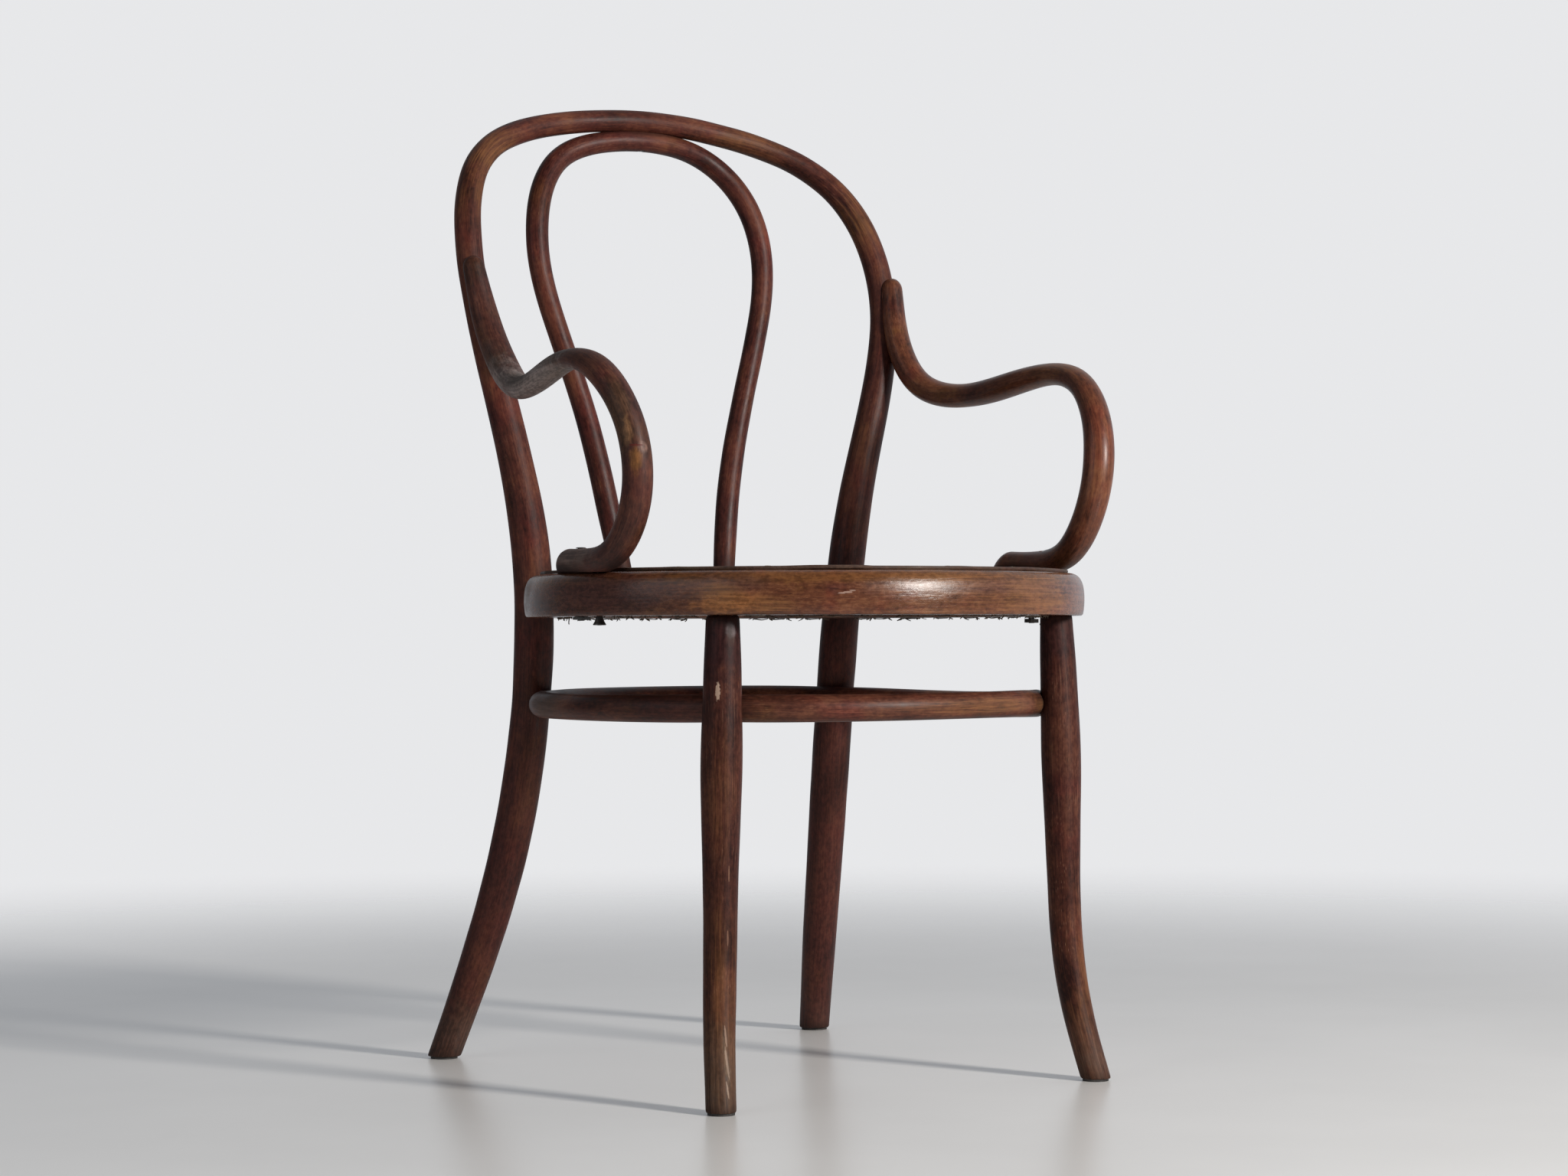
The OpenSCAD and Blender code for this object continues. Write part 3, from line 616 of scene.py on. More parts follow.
rows = [((*cane_at(i), 415), (0, 0, 1), 2.2, 60) for i in range(CANE_N) if cane_ok(i)]
b0, b1 = bow_at(400)[0], bow_at(490)[0]
rows2 = flipped([(b0, b1 - b0, bow_at(444)[2] + 0.2, 95), ((179, -189.5, 420), (0, 0, 1), 9.7, 36),
                 (hoop.at([-22.5])[0][0], hoop.at([0])[1][0], 10.75, 45),
                 ((243, -85, 415), (0, 0, 1), 2.3, 60)])
rows2 += [((-242.5, -51, 415), (0, 0, 1), 3.1, 60), ((242.5, -63, 415), (0, 0, 1), 3.1, 60)]
cut(seat_ring, [pegs("peg", rows, 16), pegs("peg2", rows2, 40)])
rod_space(seat_ring, None, (0, 0, 7000), closed=(RING_C, SEAT_R - 20, 443))
paint(seat_ring, [
    # the grey at the ring's far-left end is a painted grey reflection, not wear
    (-244, 66, 449, 26, 52, 22, 0, 0.75), (-254, -70, 443, 30, 60, 12, 2, 0.2), (-232, -140, 441, 50, 60, 12, 2, 0.2),
    (-196, -208, 446, 30, 30, 14, 1, 0.6), (-160, -240, 436, 34, 24, 12, 1, 0.6),
    (-30, -296, 446, 110, 30, 30, 1, 0.35), (100, -280, 446, 120, 60, 30, 1, 0.45),
    (0, 0, 424, 400, 400, 3.4, 2, 1.0)])
stand_for(seat_ring, "seat_wood", "seat_ring")

# ---------------------------------------------------------------- seat panel: a thin nailed board

n_r, n_a = 40, 300
ang = 2 * math.pi * np.arange(n_a) / n_a
wob = waves(71, 10, 240.0, 0)(ang * 245, 0) * 0.35 + waves(73, 12, 34.0, 0)(ang * 245, 0) * 0.35
fade = ease(np.abs(np.angle(np.exp(1j * (ang - math.pi / 2)))), 0.02, 0.25)
edge = PANEL_R - 0.5 + wob * fade
lift_edge = np.clip(waves(77, 12, 80.0, 0)(ang * 245, 0) * fade - 0.25, 0, 1) * 0.75        # lifts between the nails
ys = [(k, z) for k, z in [(0.0, 1), (0.2, 1), (0.4, 1), (0.6, 1), (0.75, 1), (0.86, 1), (0.92, 1), (0.95, 1), (0.97, 1), (0.985, 1)]]
prof = [(f, PANEL_T) for f in (0.02, 0.2, 0.4, 0.6, 0.75, 0.86, 0.92, 0.95, 0.975, 0.99)]
prof += [(0.9965, PANEL_T - 0.1), (0.999, PANEL_T - 0.45), (1.0, PANEL_T - 1.0), (1.0004, PANEL_T / 2), (0.9995, 1.1), (0.998, 0.3), (0.995, 0.03)]
prof += [(f, 0.03) for f in (0.97, 0.94, 0.9, 0.8, 0.6, 0.4, 0.2, 0.02)]
grain_wave = waves(79, 10, 150.0, 0)
r = np.zeros((n_a, len(prof), 3))
for j, (f, z) in enumerate(prof):
    near = ease(np.array([f]), 0.955, 1.0)[0]
    x, y = edge * f * np.cos(ang), edge * f * np.sin(ang)
    sag = -0.6 * (1 - f * f) if f < 0.97 and ring_in / PANEL_R > f else 0.0
    r[:, j] = np.stack([RING_C[0] + x, RING_C[1] + y, seat_top(RING_C[0] + x, RING_C[1] + y) + 0.02 + z + lift_edge * near * (z > 0.02) + sag], 1)
v = r.reshape(-1, 3)
faces = []
P = len(prof)
for i in range(n_a):
    k2 = (i + 1) % n_a
    for j in range(P - 1):
        faces.append((i * P + j, k2 * P + j, k2 * P + j + 1, i * P + j + 1))
faces.append(tuple(i * P for i in range(n_a)))
faces.append(tuple(i * P + P - 1 for i in range(n_a))[::-1])
vv = v.copy()
vv[:, 2] += RISE
panel = object_of("panel", vv * MM, faces)


def box_cutter(name, x0, x1, y0, y1, z0, z1):
    vs = [(x, y, z + RISE) for x in (x0, x1) for y in (y0, y1) for z in (z0, z1)]
    return object_of(name, np.array(vs) * MM, [(0, 1, 3, 2), (4, 6, 7, 5), (0, 4, 5, 1), (2, 3, 7, 6), (0, 2, 6, 4), (1, 5, 7, 3)])


cut(panel, [box_cutter("peg3", 231.8, 270, -129, 51, 455, 480), box_cutter("peg4", -270, -231.8, -129, 51, 455, 480),
            pegs("peg5", flipped([((57.7, 201, 450), (0, 0, 1), 11.6, 30)]), 40), pegs("peg6", flipped([((57.7, 209, 450), (0, 0, 1), 11.6, 30)]), 40)])
pv = coords(panel)
write(panel, "rod", np.stack([pv[:, 1], pv[:, 2] - 0.465, pv[:, 0] + 9.0], 1))
paint(panel, [(0, -60, 470, 190, 170, 30, 1, 0.35), (120, -110, 470, 80, 60, 30, 0, 0.25)],
      # grey on the panel's bare edge, rising towards the right end where the edge is lit: that rise is a painted
      # highlight
      low=lambda v: np.stack([(0.45 + 0.55 * np.exp(-((np.arctan2(v[:, 1] + 39, v[:, 0]) + 0.75) / 0.5) ** 2)) * ease(np.hypot(v[:, 0], v[:, 1] + 39), 243.0, 244.6), 0 * v[:, 2], 0.5 * ease(np.hypot(v[:, 0], v[:, 1] + 39), 225, 243)], 1))
stand_for(panel, "panel_ply", "seat_panel")

# ---------------------------------------------------------------- stretcher ring, a little out of true between its left joints

M, n = 520, 44
ang = 2 * math.pi * np.arange(M) / M
az = np.degrees(np.angle(np.exp(1j * ang)))


def sag_at(deg):
    return -6.2 * math.exp(-(((deg - 5 + 180) % 360 - 180) / 40.0) ** 2)


sag = np.array([sag_at(a) for a in az])
half = STR_D / 2
thick = half + 0.5 * np.exp(-((az + 25) / 30.0) ** 2)
thick = thick + fuller(np.stack([(STR_R - half) * np.cos(ang), STR_C[1] + (STR_R - half) * np.sin(ang), STR_Z + sag], 1), STR_FULL)
a = 2 * math.pi * (np.arange(n) + 0.5) / n
f = waves(83, 9, 230.0, 2)(ang[:, None] * 230, a[None, :]) * 0.2
fade = ease(np.abs(np.angle(np.exp(1j * (ang - math.pi / 2)))), 0.02, 0.25)[:, None]
tr = thick[:, None] + f * fade
rad = STR_R - half + tr * np.cos(a)
r = np.stack([STR_C[0] + rad * np.cos(ang)[:, None], STR_C[1] + rad * np.sin(ang)[:, None], STR_Z + sag[:, None] + tr * np.sin(a)], 2)


def clear_of(points, route, lo, hi, gap):
    """Pushes points out of a leg: the ring is notched where it meets it."""
    ss = spaced(max(lo, 0), min(hi, route.length), 1.0)
    c, t, _, _, h, _ = route.at(ss)
    tree = KDTree(len(ss))
    for i, p in enumerate(c):
        tree.insert(p, i)
    tree.balance()
    q = points.reshape(-1, 3)
    for j in range(len(q)):
        i = tree.find(q[j])[1]
        d = q[j] - c[i]
        e = d - d.dot(t[i]) * t[i]
        size, need = np.linalg.norm(e), h[i] + gap
        if size < need:
            # inwards, towards the ring's centre
            inward = np.array([STR_C[0] - c[i][0], STR_C[1] - c[i][1], 0])
            inward /= np.linalg.norm(inward)
            b = e.dot(inward)
            q[j] = q[j] + inward * (-b + math.sqrt(max(b * b + need * need - size * size, 0)))
    return q.reshape(points.shape)


for route, lo, hi in ((bow, bow.at_z(300, 0, 900), bow.at_z(390, 0, 900)),
                      (bow, bow.length - bow.at_z(390, 0, 900), bow.length - bow.at_z(300, 0, 900)),
                      (legs["left"], 290, 400), (legs["right"], 290, 400)):
    r = clear_of(r, route, lo, hi, 0.15)
stretcher = solid("stretcher", r, loop=True)


def out_at(v, d):
    return (v[0] * d, STR_C[1] + v[1] * d)


def deg_of(v):
    return math.degrees(math.atan2(v[1], v[0]))


joints = []
for v in (REAR_OUT, FRONT_OUT):
    for sx in (1, -1):
        w = np.array([v[0] * sx, v[1], 0])
        joints.append((w, STR_Z + sag_at(deg_of(w))))
cut(stretcher, [pegs("peg", [((*out_at(w, STR_R - STR_D - 6), z), w, 4.6, 9.9) for w, z in joints])])
rod_space(stretcher, None, (0, 0, 9000), closed=(STR_C, STR_R - half, STR_Z))
paint(stretcher, [
    # the grey at the stretcher's left end is a painted grey sheen
    (-215, 110, 350, 40, 60, 20, 0, 1.0), (-232, 30, 350, 30, 60, 20, 0, 0.8), (-200, -100, 350, 60, 60, 20, 2, 0.3),
    (60, -240, 346, 130, 40, 10, 1, 0.55), (160, -170, 344, 60, 60, 10, 1, 0.4),
    *[(w[0] * 236, STR_C[1] + w[1] * 236, z + RISE, 26, 26, 20, 2, 0.8) for w, z in joints]])
stand_for(stretcher, "stretcher_wood", "stretcher_ring")

# ---------------------------------------------------------------- cane left in the holes under the frame

rng = np.random.RandomState(5)


def strip(points, width, thick, side, twist=0.0, fray=0.0):
    """A flat strand along the points; side is its width's direction."""
    p = np.array(points, float)
    t = unit(np.gradient(p, axis=0))
    rings = []
    m = len(p)
    for i in range(m):
        sd = unit(np.array(side, float) - t[i] * t[i].dot(side))
        up = np.cross(t[i], sd)
        q = twist * i / (m - 1)
        sd, up = sd * math.cos(q) + up * math.sin(q), up * math.cos(q) - sd * math.sin(q)
        w = width * (1 - fray * (i / (m - 1)) ** 2)
        rings.append([p[i] + sd * x * w / 2 + up * y * thick / 2 for x, y in
                      ((-1, -0.5), (-0.75, -1), (0, -1.15), (0.75, -1), (1, -0.5), (1, 0.5), (0.75, 1), (0, 1), (-0.75, 1), (-1, 0.5))])
    return np.array(rings)


parts = []
for i in range(CANE_N):
    k2 = (i + 1) % CANE_N
    if not (cane_ok(i) and cane_ok(k2)) or (i % 2 and rng.rand() < 0.72):
        continue
    a0, a1 = cane_at(i), cane_at(k2)
    drop = rng.uniform(0.0, 0.45) if rng.rand() < 0.8 else rng.uniform(0.5, 1.0)
    lean, kink = rng.uniform(-1.0, 1.0), rng.uniform(0.3, 0.7)
    pts = []
    for u in np.linspace(0, 1, 17):
        x, y = a0 * (1 - u) + a1 * u
        e = min(u, 1 - u)
        inward = unit(RING_C - np.array([x, y]))
        x, y = np.array([x, y]) + inward * lean * math.sin(math.pi * u)
        hang = drop * math.exp(-((u - kink) / 0.22) ** 2)
        z = seat_low(x, y) - 0.55 - hang + 7 * (1 - ease(np.array([e]), 0, 0.09)[0])
        pts.append((x, y, z))
    radial = unit(np.array([*(RING_C - (a0 + a1) / 2), 0]))
    parts.append(strip(pts, rng.uniform(2.0, 3.2), rng.uniform(0.6, 0.95), radial, rng.uniform(-0.5, 0.5)))
# broken ends: a few hang visibly, the rest are short stubs (hole, length, lean along the frame, hook)
hanging = [(39, 8.0, -0.25, 0.35), (40, 2.4, 0.5, 0.1), (44, 3.2, -0.3, 0.2), (44, 2.2, 0.4, 0.1), (45, 4.6, -0.55, 0.2), (46, 2.6, 0.3, 0.2),
           (47, 3.0, 0.35, -0.1), (53, 2.8, 0.2, 0.1), (60, 2.6, 0.2, 0.2), (62, 2.0, 0.5, 0.0), (66, 2.2, -0.4, 0.1)]
for i in range(CANE_N):
    if cane_ok(i):
        hanging += [(i, rng.uniform(0.9, 2.2) + (rng.rand() < 0.3) * rng.uniform(0.5, 2.0), rng.uniform(-1.7, 1.7), rng.uniform(-0.5, 0.5)) for _ in range(rng.randint(2, 6))]
for i, length, bend, hook in hanging:
    a0 = cane_at(i)
    out = unit(a0 - RING_C)
    tang = np.array([-out[1], out[0]])
    a0 = a0 + out * rng.uniform(-1.2, 1.2) + tang * rng.uniform(-1.2, 1.2)
    pts = []
    for u in np.linspace(0, 1, 10):
        g = u * (length + 2)
        x, y = a0 + tang * (bend * g * u + hook * g * u ** 4) + out * (0.2 * hook * g * u)
        pts.append((x, y, seat_low(x, y) + 2 - g * (1 - 0.12 * u)))
    parts.append(strip(pts, rng.uniform(1.0, 2.0), rng.uniform(0.45, 0.8), (*tang, 0), rng.uniform(-1.2, 1.2), rng.uniform(0.3, 0.8)))
verts, faces = [], []
rods = []
for q, part in enumerate(parts):
    base = len(verts)
    m, n = part.shape[:2]
    verts += list(part.reshape(-1, 3))
    faces += [tuple(base + x for x in face) for face in tube_faces(m, n)]
    step = np.concatenate([[0], np.cumsum(np.linalg.norm(np.diff(part.mean(1), axis=0), axis=1))])
    for i in range(m):
        for j in range(n):
            rods.append((j * 0.5, q * 7.0, step[i] + q * 31))
v = np.array(verts)
v[:, 2] += RISE
cane = object_of("cane_ends", v * MM, faces, 60)
write(cane, "rod", np.array(rods) * MM)
write(cane, "age", np.zeros((len(rods), 3)))
stand_for(cane, "old_cane", "cane_loops")

# ---------------------------------------------------------------- nails with low domed heads

verts, faces = [], []
rng = np.random.RandomState(9)
NAIL_N = 18
for i in range(NAIL_N):
    a0 = 2 * math.pi * (i + 0.5) / NAIL_N
    c = np.array([RING_C[0] + 234.5 * math.cos(a0), RING_C[1] + 234.5 * math.sin(a0)])
    z0 = seat_top(*c) + PANEL_T + 0.04
    tilt = rng.uniform(-0.02, 0.02, 2)
    base = len(verts)
    prof = [(0.85, -12.0), (0.85, -0.02), (2.95, -0.02), (3.0, 0.08), (2.85, 0.2), (2.45, 0.31), (1.8, 0.38), (1.0, 0.42), (0.3, 0.43)]
    n = 24
    dent = rng.uniform(0, 6.283)
    for rr, z in prof:
        for j in range(n):
            q = 2 * math.pi * j / n
            x, y = rr * math.cos(q), rr * math.sin(q)
            zz = z - (0.10 * max(0, math.cos(q - dent)) * (rr > 0.9) * (rr < 2.2) if z > 0.3 else 0)
            verts.append((c[0] + x, c[1] + y, z0 + zz + (tilt[0] * x + tilt[1] * y if z > -1 else 0)))
    faces += [tuple(base + x for x in face) for face in tube_faces(len(prof), n)]
v = np.array(verts)
v[:, 2] += RISE
nails = object_of("nails", v * MM, faces, 50)
stand_for(nails, "nail_brass", "panel_nails")

# ---------------------------------------------------------------- bolts and nuts of the arms, screws of the stretcher

near_x, far_x = -242.5, 242.5
near_top = 473.7 + 11.7
near_low, far_low = seat_low(near_x, -51), seat_low(far_x, -63)
dome = [(4.7, 0.0), (4.75, 0.25), (4.3, 0.62), (3.3, 0.86), (1.8, 0.98), (0.2, 1.02)]
rear_bolts = turned("rear_bolts", [
    ((near_x, -51, near_low - 4.0), (0, 0, 1), [(2.5, 0), (3, 0.5), (3, near_top - near_low + 3.9)] + [(rr, z + near_top - near_low + 4.0) for rr, z in dome]),
    ((far_x, -63, far_low - 6.2), (0, 0, 1), [(2.4, 0), (3, 0.6), (3, 481.6 - far_low + 6.1)] + [(rr, z + 481.6 - far_low + 6.2) for rr, z in dome])])
cut(rear_bolts, [blocks("peg", [((near_x, -51, near_top + 1.0), (0, 0, 1), 37, 12, 1.1, 1.1), ((far_x, -63, 482.6), (0, 0, 1), 70, 12, 1.1, 1.1)])])
stand_for(rear_bolts, "dark_steel", "arm_rear_bolts")
ring = [(3.2, 0.1), (5.9, 0.0), (6.3, 0.12), (6.35, 0.5), (6.2, 0.8), (3.2, 0.85)]
rear_washers = turned("rear_washers", [((near_x, -51, near_low - 0.9), (0, 0, 1), ring), ((far_x, -63, far_low - 0.9), (0, 0.03, 1), ring)])
cut(rear_washers, [pegs("peg", [((near_x, -51, near_low - 4), (0, 0, 1), 3.08, 8), ((far_x, -63, far_low - 4), (0, 0, 1), 3.08, 8)])])
stand_for(rear_washers, "dark_steel", "arm_rear_washers")
rear_nuts = blocks("rear_nuts", [((near_x, -51, near_low - 2.05), (0.02, 0, 1), 28, 11.2, 11.2, 2.2), ((far_x, -63, far_low - 3.9), (0.05, 0.02, 1), 5, 9.6, 9.6, 3.6)])
cut(rear_nuts, [pegs("peg", [((near_x, -51, near_low - 8), (0, 0, 1), 3.04, 12), ((far_x, -63, far_low - 9), (0, 0, 1), 3.04, 12)])])
stand_for(rear_nuts, "dark_steel", "arm_rear_nuts")
rows, rows2, rows3 = [], [], []
for sx, turn in ((1, 12), (-1, 55)):
    lo = seat_low(sx * 243, -85)
    rows.append(((sx * 243, -85, lo - 8.3), (0, 0, 1), [(1.9, 0), (2.2, 0.4), (2.2, 481.5 - lo + 8.2), (5.2, 481.5 - lo + 8.3), (5.2, 481.5 - lo + 8.9),
                                                        (4.4, 481.5 - lo + 10.0), (2.6, 481.5 - lo + 10.6), (0.2, 481.5 - lo + 10.7)]))
    rows2.append(((sx * 243, -85, 484.4), (0, 0, 1), turn, 14, 1.2, 1.8))
    rows3.append(((sx * 243, -85, lo - 8.1), (0.015, 0.01, 1), [(2.4, 0.15), (5.3, 0.0), (5.8, 0.25), (5.85, 0.9), (5.3, 1.7), (4.4, 3.2), (3.6, 5.2), (3.1, 7.0), (2.9, 8.0), (2.4, 8.0)]))
front_bolts = turned("front_bolts", rows)
cut(front_bolts, [blocks("peg", rows2)])
stand_for(front_bolts, "dark_steel", "arm_front_bolts")
front_nuts = turned("front_nuts", rows3)
cut(front_nuts, [pegs("peg", [((sx * 243, -85, 408), (0, 0, 1), 2.25, 30) for sx in (1, -1)])])
stand_for(front_nuts, "dark_steel", "arm_front_nuts")
rows, rows2 = [], []
for w, z in joints:
    p = (*out_at(w, STR_R - STR_D + 1.45), z)
    rows.append((p, w, [(0.2, -0.25), (2.2, -0.2), (3.9, 0.0), (4.35, 0.25), (2.05, 2.4), (2.0, 29), (0.3, 33)]))
    rows2.append(((p[0], p[1], p[2]), w, float(rng.uniform(0, 180)), 12, 1.0, 1.7))
str_screws = turned("stretcher_fix", rows)
cut(str_screws, [blocks("peg", rows2)])
stand_for(str_screws, "dark_steel", "stretcher_screws")

# ---------------------------------------------------------------- materials


class Nodes:
    """Short calls for building a node tree."""

    def __init__(self, name):
        self.mat = bpy.data.materials.new(name)
        self.mat.use_nodes = True
        self.t = self.mat.node_tree
        self.t.nodes.clear()
        self.out = self.add("ShaderNodeOutputMaterial")
        self.bsdf = self.add("ShaderNodeBsdfPrincipled")
        self.t.links.new(self.bsdf.outputs[0], self.out.inputs["Surface"])

    def add(self, kind, **props):
        n = self.t.nodes.new(kind)
        for key, value in props.items():
            setattr(n, key, value)
        return n

    def put(self, socket, value):
        if isinstance(value, bpy.types.NodeSocket):
            self.t.links.new(value, socket)
        elif value is not None:
            socket.default_value = value

    def attr(self, name):
        return self.add("ShaderNodeAttribute", attribute_type="GEOMETRY", attribute_name=name).outputs["Vector"]

    def where(self):
        return self.add("ShaderNodeTexCoord").outputs["Object"]

    def vec(self, op, a, b=None, scale=None):
        n = self.add("ShaderNodeVectorMath", operation=op)
        self.put(n.inputs[0], a)
        if b is not None:
            self.put(n.inputs[1], b)
        if scale is not None:
            self.put(n.inputs["Scale"], scale)
        return n.outputs["Vector"]

    def split(self, v):
        n = self.add("ShaderNodeSeparateXYZ")
        self.put(n.inputs[0], v)
        return n.outputs

    def math(self, op, a, b=None, clamp=False, c=None):
        n = self.add("ShaderNodeMath", operation=op, use_clamp=clamp)
        self.put(n.inputs[0], a)
        if b is not None:
            self.put(n.inputs[1], b)
        if c is not None:
            self.put(n.inputs[2], c)
        return n.outputs[0]

    def noise(self, v, scale, detail=3.0, rough=0.5, distort=0.0):
        n = self.add("ShaderNodeTexNoise", noise_dimensions="3D")
        self.put(n.inputs["Vector"], v)
        self.put(n.inputs["Scale"], scale)
        self.put(n.inputs["Detail"], detail)
        self.put(n.inputs["Roughness"], rough)
        self.put(n.inputs["Distortion"], distort)
        return n.outputs["Fac"]

    def cells(self, v, scale, feature="F1"):
        n = self.add("ShaderNodeTexVoronoi", feature=feature)
        self.put(n.inputs["Vector"], v)
        self.put(n.inputs["Scale"], scale)
        return n.outputs["Distance"]

    def step(self, v, lo, hi):
        n = self.add("ShaderNodeMapRange", interpolation_type="SMOOTHSTEP", clamp=True)
        self.put(n.inputs["Value"], v)
        n.inputs["From Min"].default_value, n.inputs["From Max"].default_value = lo, hi
        return n.outputs["Result"]

    def ramp(self, v, stops):
        n = self.add("ShaderNodeValToRGB")
        self.put(n.inputs[0], v)
        e = n.color_ramp.elements
        while len(e) > 1:
            e.remove(e[0])
        e[0].position, e[0].color = stops[0][0], (*stops[0][1], 1)
        for pos, col in stops[1:]:
            x = e.new(pos)
            x.color = (*col, 1)
        return n.outputs["Color"]

    def mix(self, fac, a, b, kind="MIX"):
        n = self.add("ShaderNodeMix", data_type="RGBA", blend_type=kind, clamp_factor=True)
        self.put(n.inputs[0], fac)
        self.put(n.inputs[6], a if isinstance(a, bpy.types.NodeSocket) else (*a, 1))
        self.put(n.inputs[7], b if isinstance(b, bpy.types.NodeSocket) else (*b, 1))
        return n.outputs[2]

    def bump(self, height, distance, strength=1.0, normal=None):
        n = self.add("ShaderNodeBump")
        self.put(n.inputs["Height"], height)
        self.put(n.inputs["Distance"], distance)
        self.put(n.inputs["Strength"], strength)
        if normal is not None:
            self.put(n.inputs["Normal"], normal)
        return n.outputs[0]

    def set(self, **values):
        for key, value in values.items():
            self.put(self.bsdf.inputs[key.replace("_", " ")], value)
        return self.mat


def wood(name, dark, mid, light, warm=(0.30, 0.135, 0.045), gloss=0.46, coat=0.08, bold=1.0, worn=0.5, chips_and_glints=(), tints=(), varnish=0.24, shine=0.28, speck=0.85, streak=0.15, relief=1.0):
    """Stained and varnished beech in the rod's own space, with grey wear, rubbed places and grime from 'age'. The
    'age' grey also holds a few painted sheens and highlights, and the tints and chips lists hold painted highlights,
    reflections and shade besides real colour patches and chips.
    """
    N = Nodes(name)
    rod = N.attr("rod")
    grey, rubbed, grime = N.split(N.attr("age"))
    wander = N.vec("SCALE", N.vec("SUBTRACT", N.add_noise_colour(rod, 6.0), (0.5, 0.5, 0.5)), scale=0.010)
    p = N.vec("ADD", rod, wander)
    bands = N.noise(N.vec("MULTIPLY", p, (1, 1, 0.06)), 85, 4, 0.55)
    lines = N.noise(N.vec("MULTIPLY", p, (1, 1, 0.030)), 540, 5, 0.62)
    hair = N.noise(N.vec("MULTIPLY", p, (1, 1, 0.03)), 1300, 3, 0.6)
    mottle = N.noise(rod, 15, 5, 0.62)
    patch = N.noise(N.vec("MULTIPLY", rod, (1, 1, 0.35)), 42, 5, 0.6)
    fleck = N.cells(N.vec("MULTIPLY", p, (1, 1, 0.13)), 560)
    flecks = N.step(fleck, 0.26, 0.10)
    pale = N.cells(N.vec("MULTIPLY", N.vec("ADD", p, (0.31, 0.17, 0.05)), (1, 1, 0.15)), 760)
    pales = N.math("MULTIPLY", N.step(pale, 0.24, 0.10), N.step(N.noise(rod, 30, 4, 0.6), 0.44, 0.62))
    tone = N.math("ADD", 0.5, N.math("MULTIPLY", N.math("SUBTRACT", bands, 0.5), 0.18 * bold))
    tone = N.math("ADD", tone, N.math("MULTIPLY", N.math("SUBTRACT", lines, 0.5), 0.52 * bold))
    tone = N.math("ADD", tone, N.math("MULTIPLY", N.math("SUBTRACT", hair, 0.5), 0.42 * bold))
    tone = N.math("ADD", tone, N.math("MULTIPLY", N.math("SUBTRACT", mottle, 0.5), 1.05))
    tone = N.math("ADD", tone, N.math("MULTIPLY", N.math("SUBTRACT", patch, 0.5), 0.85))
    speckle = N.noise(N.vec("MULTIPLY", rod, (1, 1, 0.55)), 310, 4, 0.62)
    tone = N.math("ADD", tone, N.math("MULTIPLY", N.math("SUBTRACT", speckle, 0.5), speck))
    col = N.ramp(tone, [(0.20, dark), (0.5, mid), (0.86, light)])
    col = N.mix(N.math("MULTIPLY", flecks, 0.42), col, tuple(c * 0.5 for c in dark))
    col = N.mix(N.math("MULTIPLY", pales, 0.45 * worn + 0.12), col, (0.27, 0.135, 0.085))
    # thin pale streaks where the stain has worn off along the grain
    thin = N.math("MULTIPLY", N.step(N.noise(N.vec("MULTIPLY", N.vec("ADD", p, (0.9, 0.4, 0.2)), (1, 1, 0.028)), 620, 3, 0.5), 0.58, 0.70),
                  N.step(N.noise(N.vec("ADD", rod, (1.7, 0.6, 3.1)), 26, 4, 0.6), 0.42, 0.60))
    col = N.mix(N.math("MULTIPLY", thin, streak), col, (0.30, 0.150, 0.095))
    # the stain drifts between wine red and olive brown
    drift = N.noise(N.vec("ADD", rod, (4.1, 2.3, 7.7)), 19, 4, 0.6)
    col = N.mix(N.math("MULTIPLY", N.step(drift, 0.52, 0.70), 0.75), col, (1.08, 0.74, 0.86), "MULTIPLY")
    col = N.mix(N.math("MULTIPLY", N.step(drift, 0.48, 0.32), 0.75), col, (0.98, 1.10, 0.72), "MULTIPLY")
    # tints are local colour patches; some of them are painted highlights, painted reflections and painted shade
    for (x, y, z), (rx, ry, rz), colour, amount in tints:
        at = N.vec("MULTIPLY", N.vec("SUBTRACT", N.where(), (x * MM, y * MM, z * MM)), (1 / (rx * MM), 1 / (ry * MM), 1 / (rz * MM)))
        far = N.add("ShaderNodeVectorMath", operation="LENGTH")
        N.put(far.inputs[0], at)
        edge = N.math("ADD", far.outputs["Value"], N.math("MULTIPLY", N.math("SUBTRACT", N.noise(N.where(), 75, 5, 0.62), 0.5), 1.5))
        tone_c = N.mix(N.step(N.math("ADD", lines, N.math("MULTIPLY", N.math("SUBTRACT", speckle, 0.5), 1.2)), 0.32, 0.68), tuple(c * 0.62 for c in colour), tuple(c * 1.25 for c in colour))
        col = N.mix(N.math("MULTIPLY", N.step(edge, 1.2, 0.45), amount), col, tone_c)
    # rubbed through to warmer wood
    rub = N.math("MULTIPLY", rubbed, N.step(N.math("ADD", patch, N.math("MULTIPLY", N.math("SUBTRACT", lines, 0.5), 0.7)), 0.30, 0.66), True)
    warm_c = N.mix(N.step(lines, 0.35, 0.68), tuple(c * 0.5 for c in warm), warm)
    col = N.mix(N.math("MULTIPLY", rub, 0.85), col, warm_c)
    # dull grey wear, and the painted grey sheens and highlights set in the same channel, thickest in patches along the
    # grain
    grey_wear_and_sheen = N.math("MULTIPLY", grey, N.step(N.math("ADD", mottle, N.math("MULTIPLY", N.math("SUBTRACT", patch, 0.5), 0.8)), 0.28, 0.62), True)
    grey_c = N.ramp(N.math("ADD", lines, N.math("MULTIPLY", N.math("SUBTRACT", hair, 0.5), 0.5)), [(0.25, (0.035, 0.026, 0.021)), (0.55, (0.082, 0.063, 0.052)), (0.8, (0.15, 0.122, 0.105))])
    col = N.mix(N.math("MULTIPLY", grey_wear_and_sheen, 0.82), col, grey_c)
    # grime where pieces meet
    dirt = N.math("MULTIPLY", grime, N.step(mottle, 0.15, 0.6), True)
    col = N.mix(N.math("MULTIPLY", dirt, 0.78), col, (0.013, 0.008, 0.007))
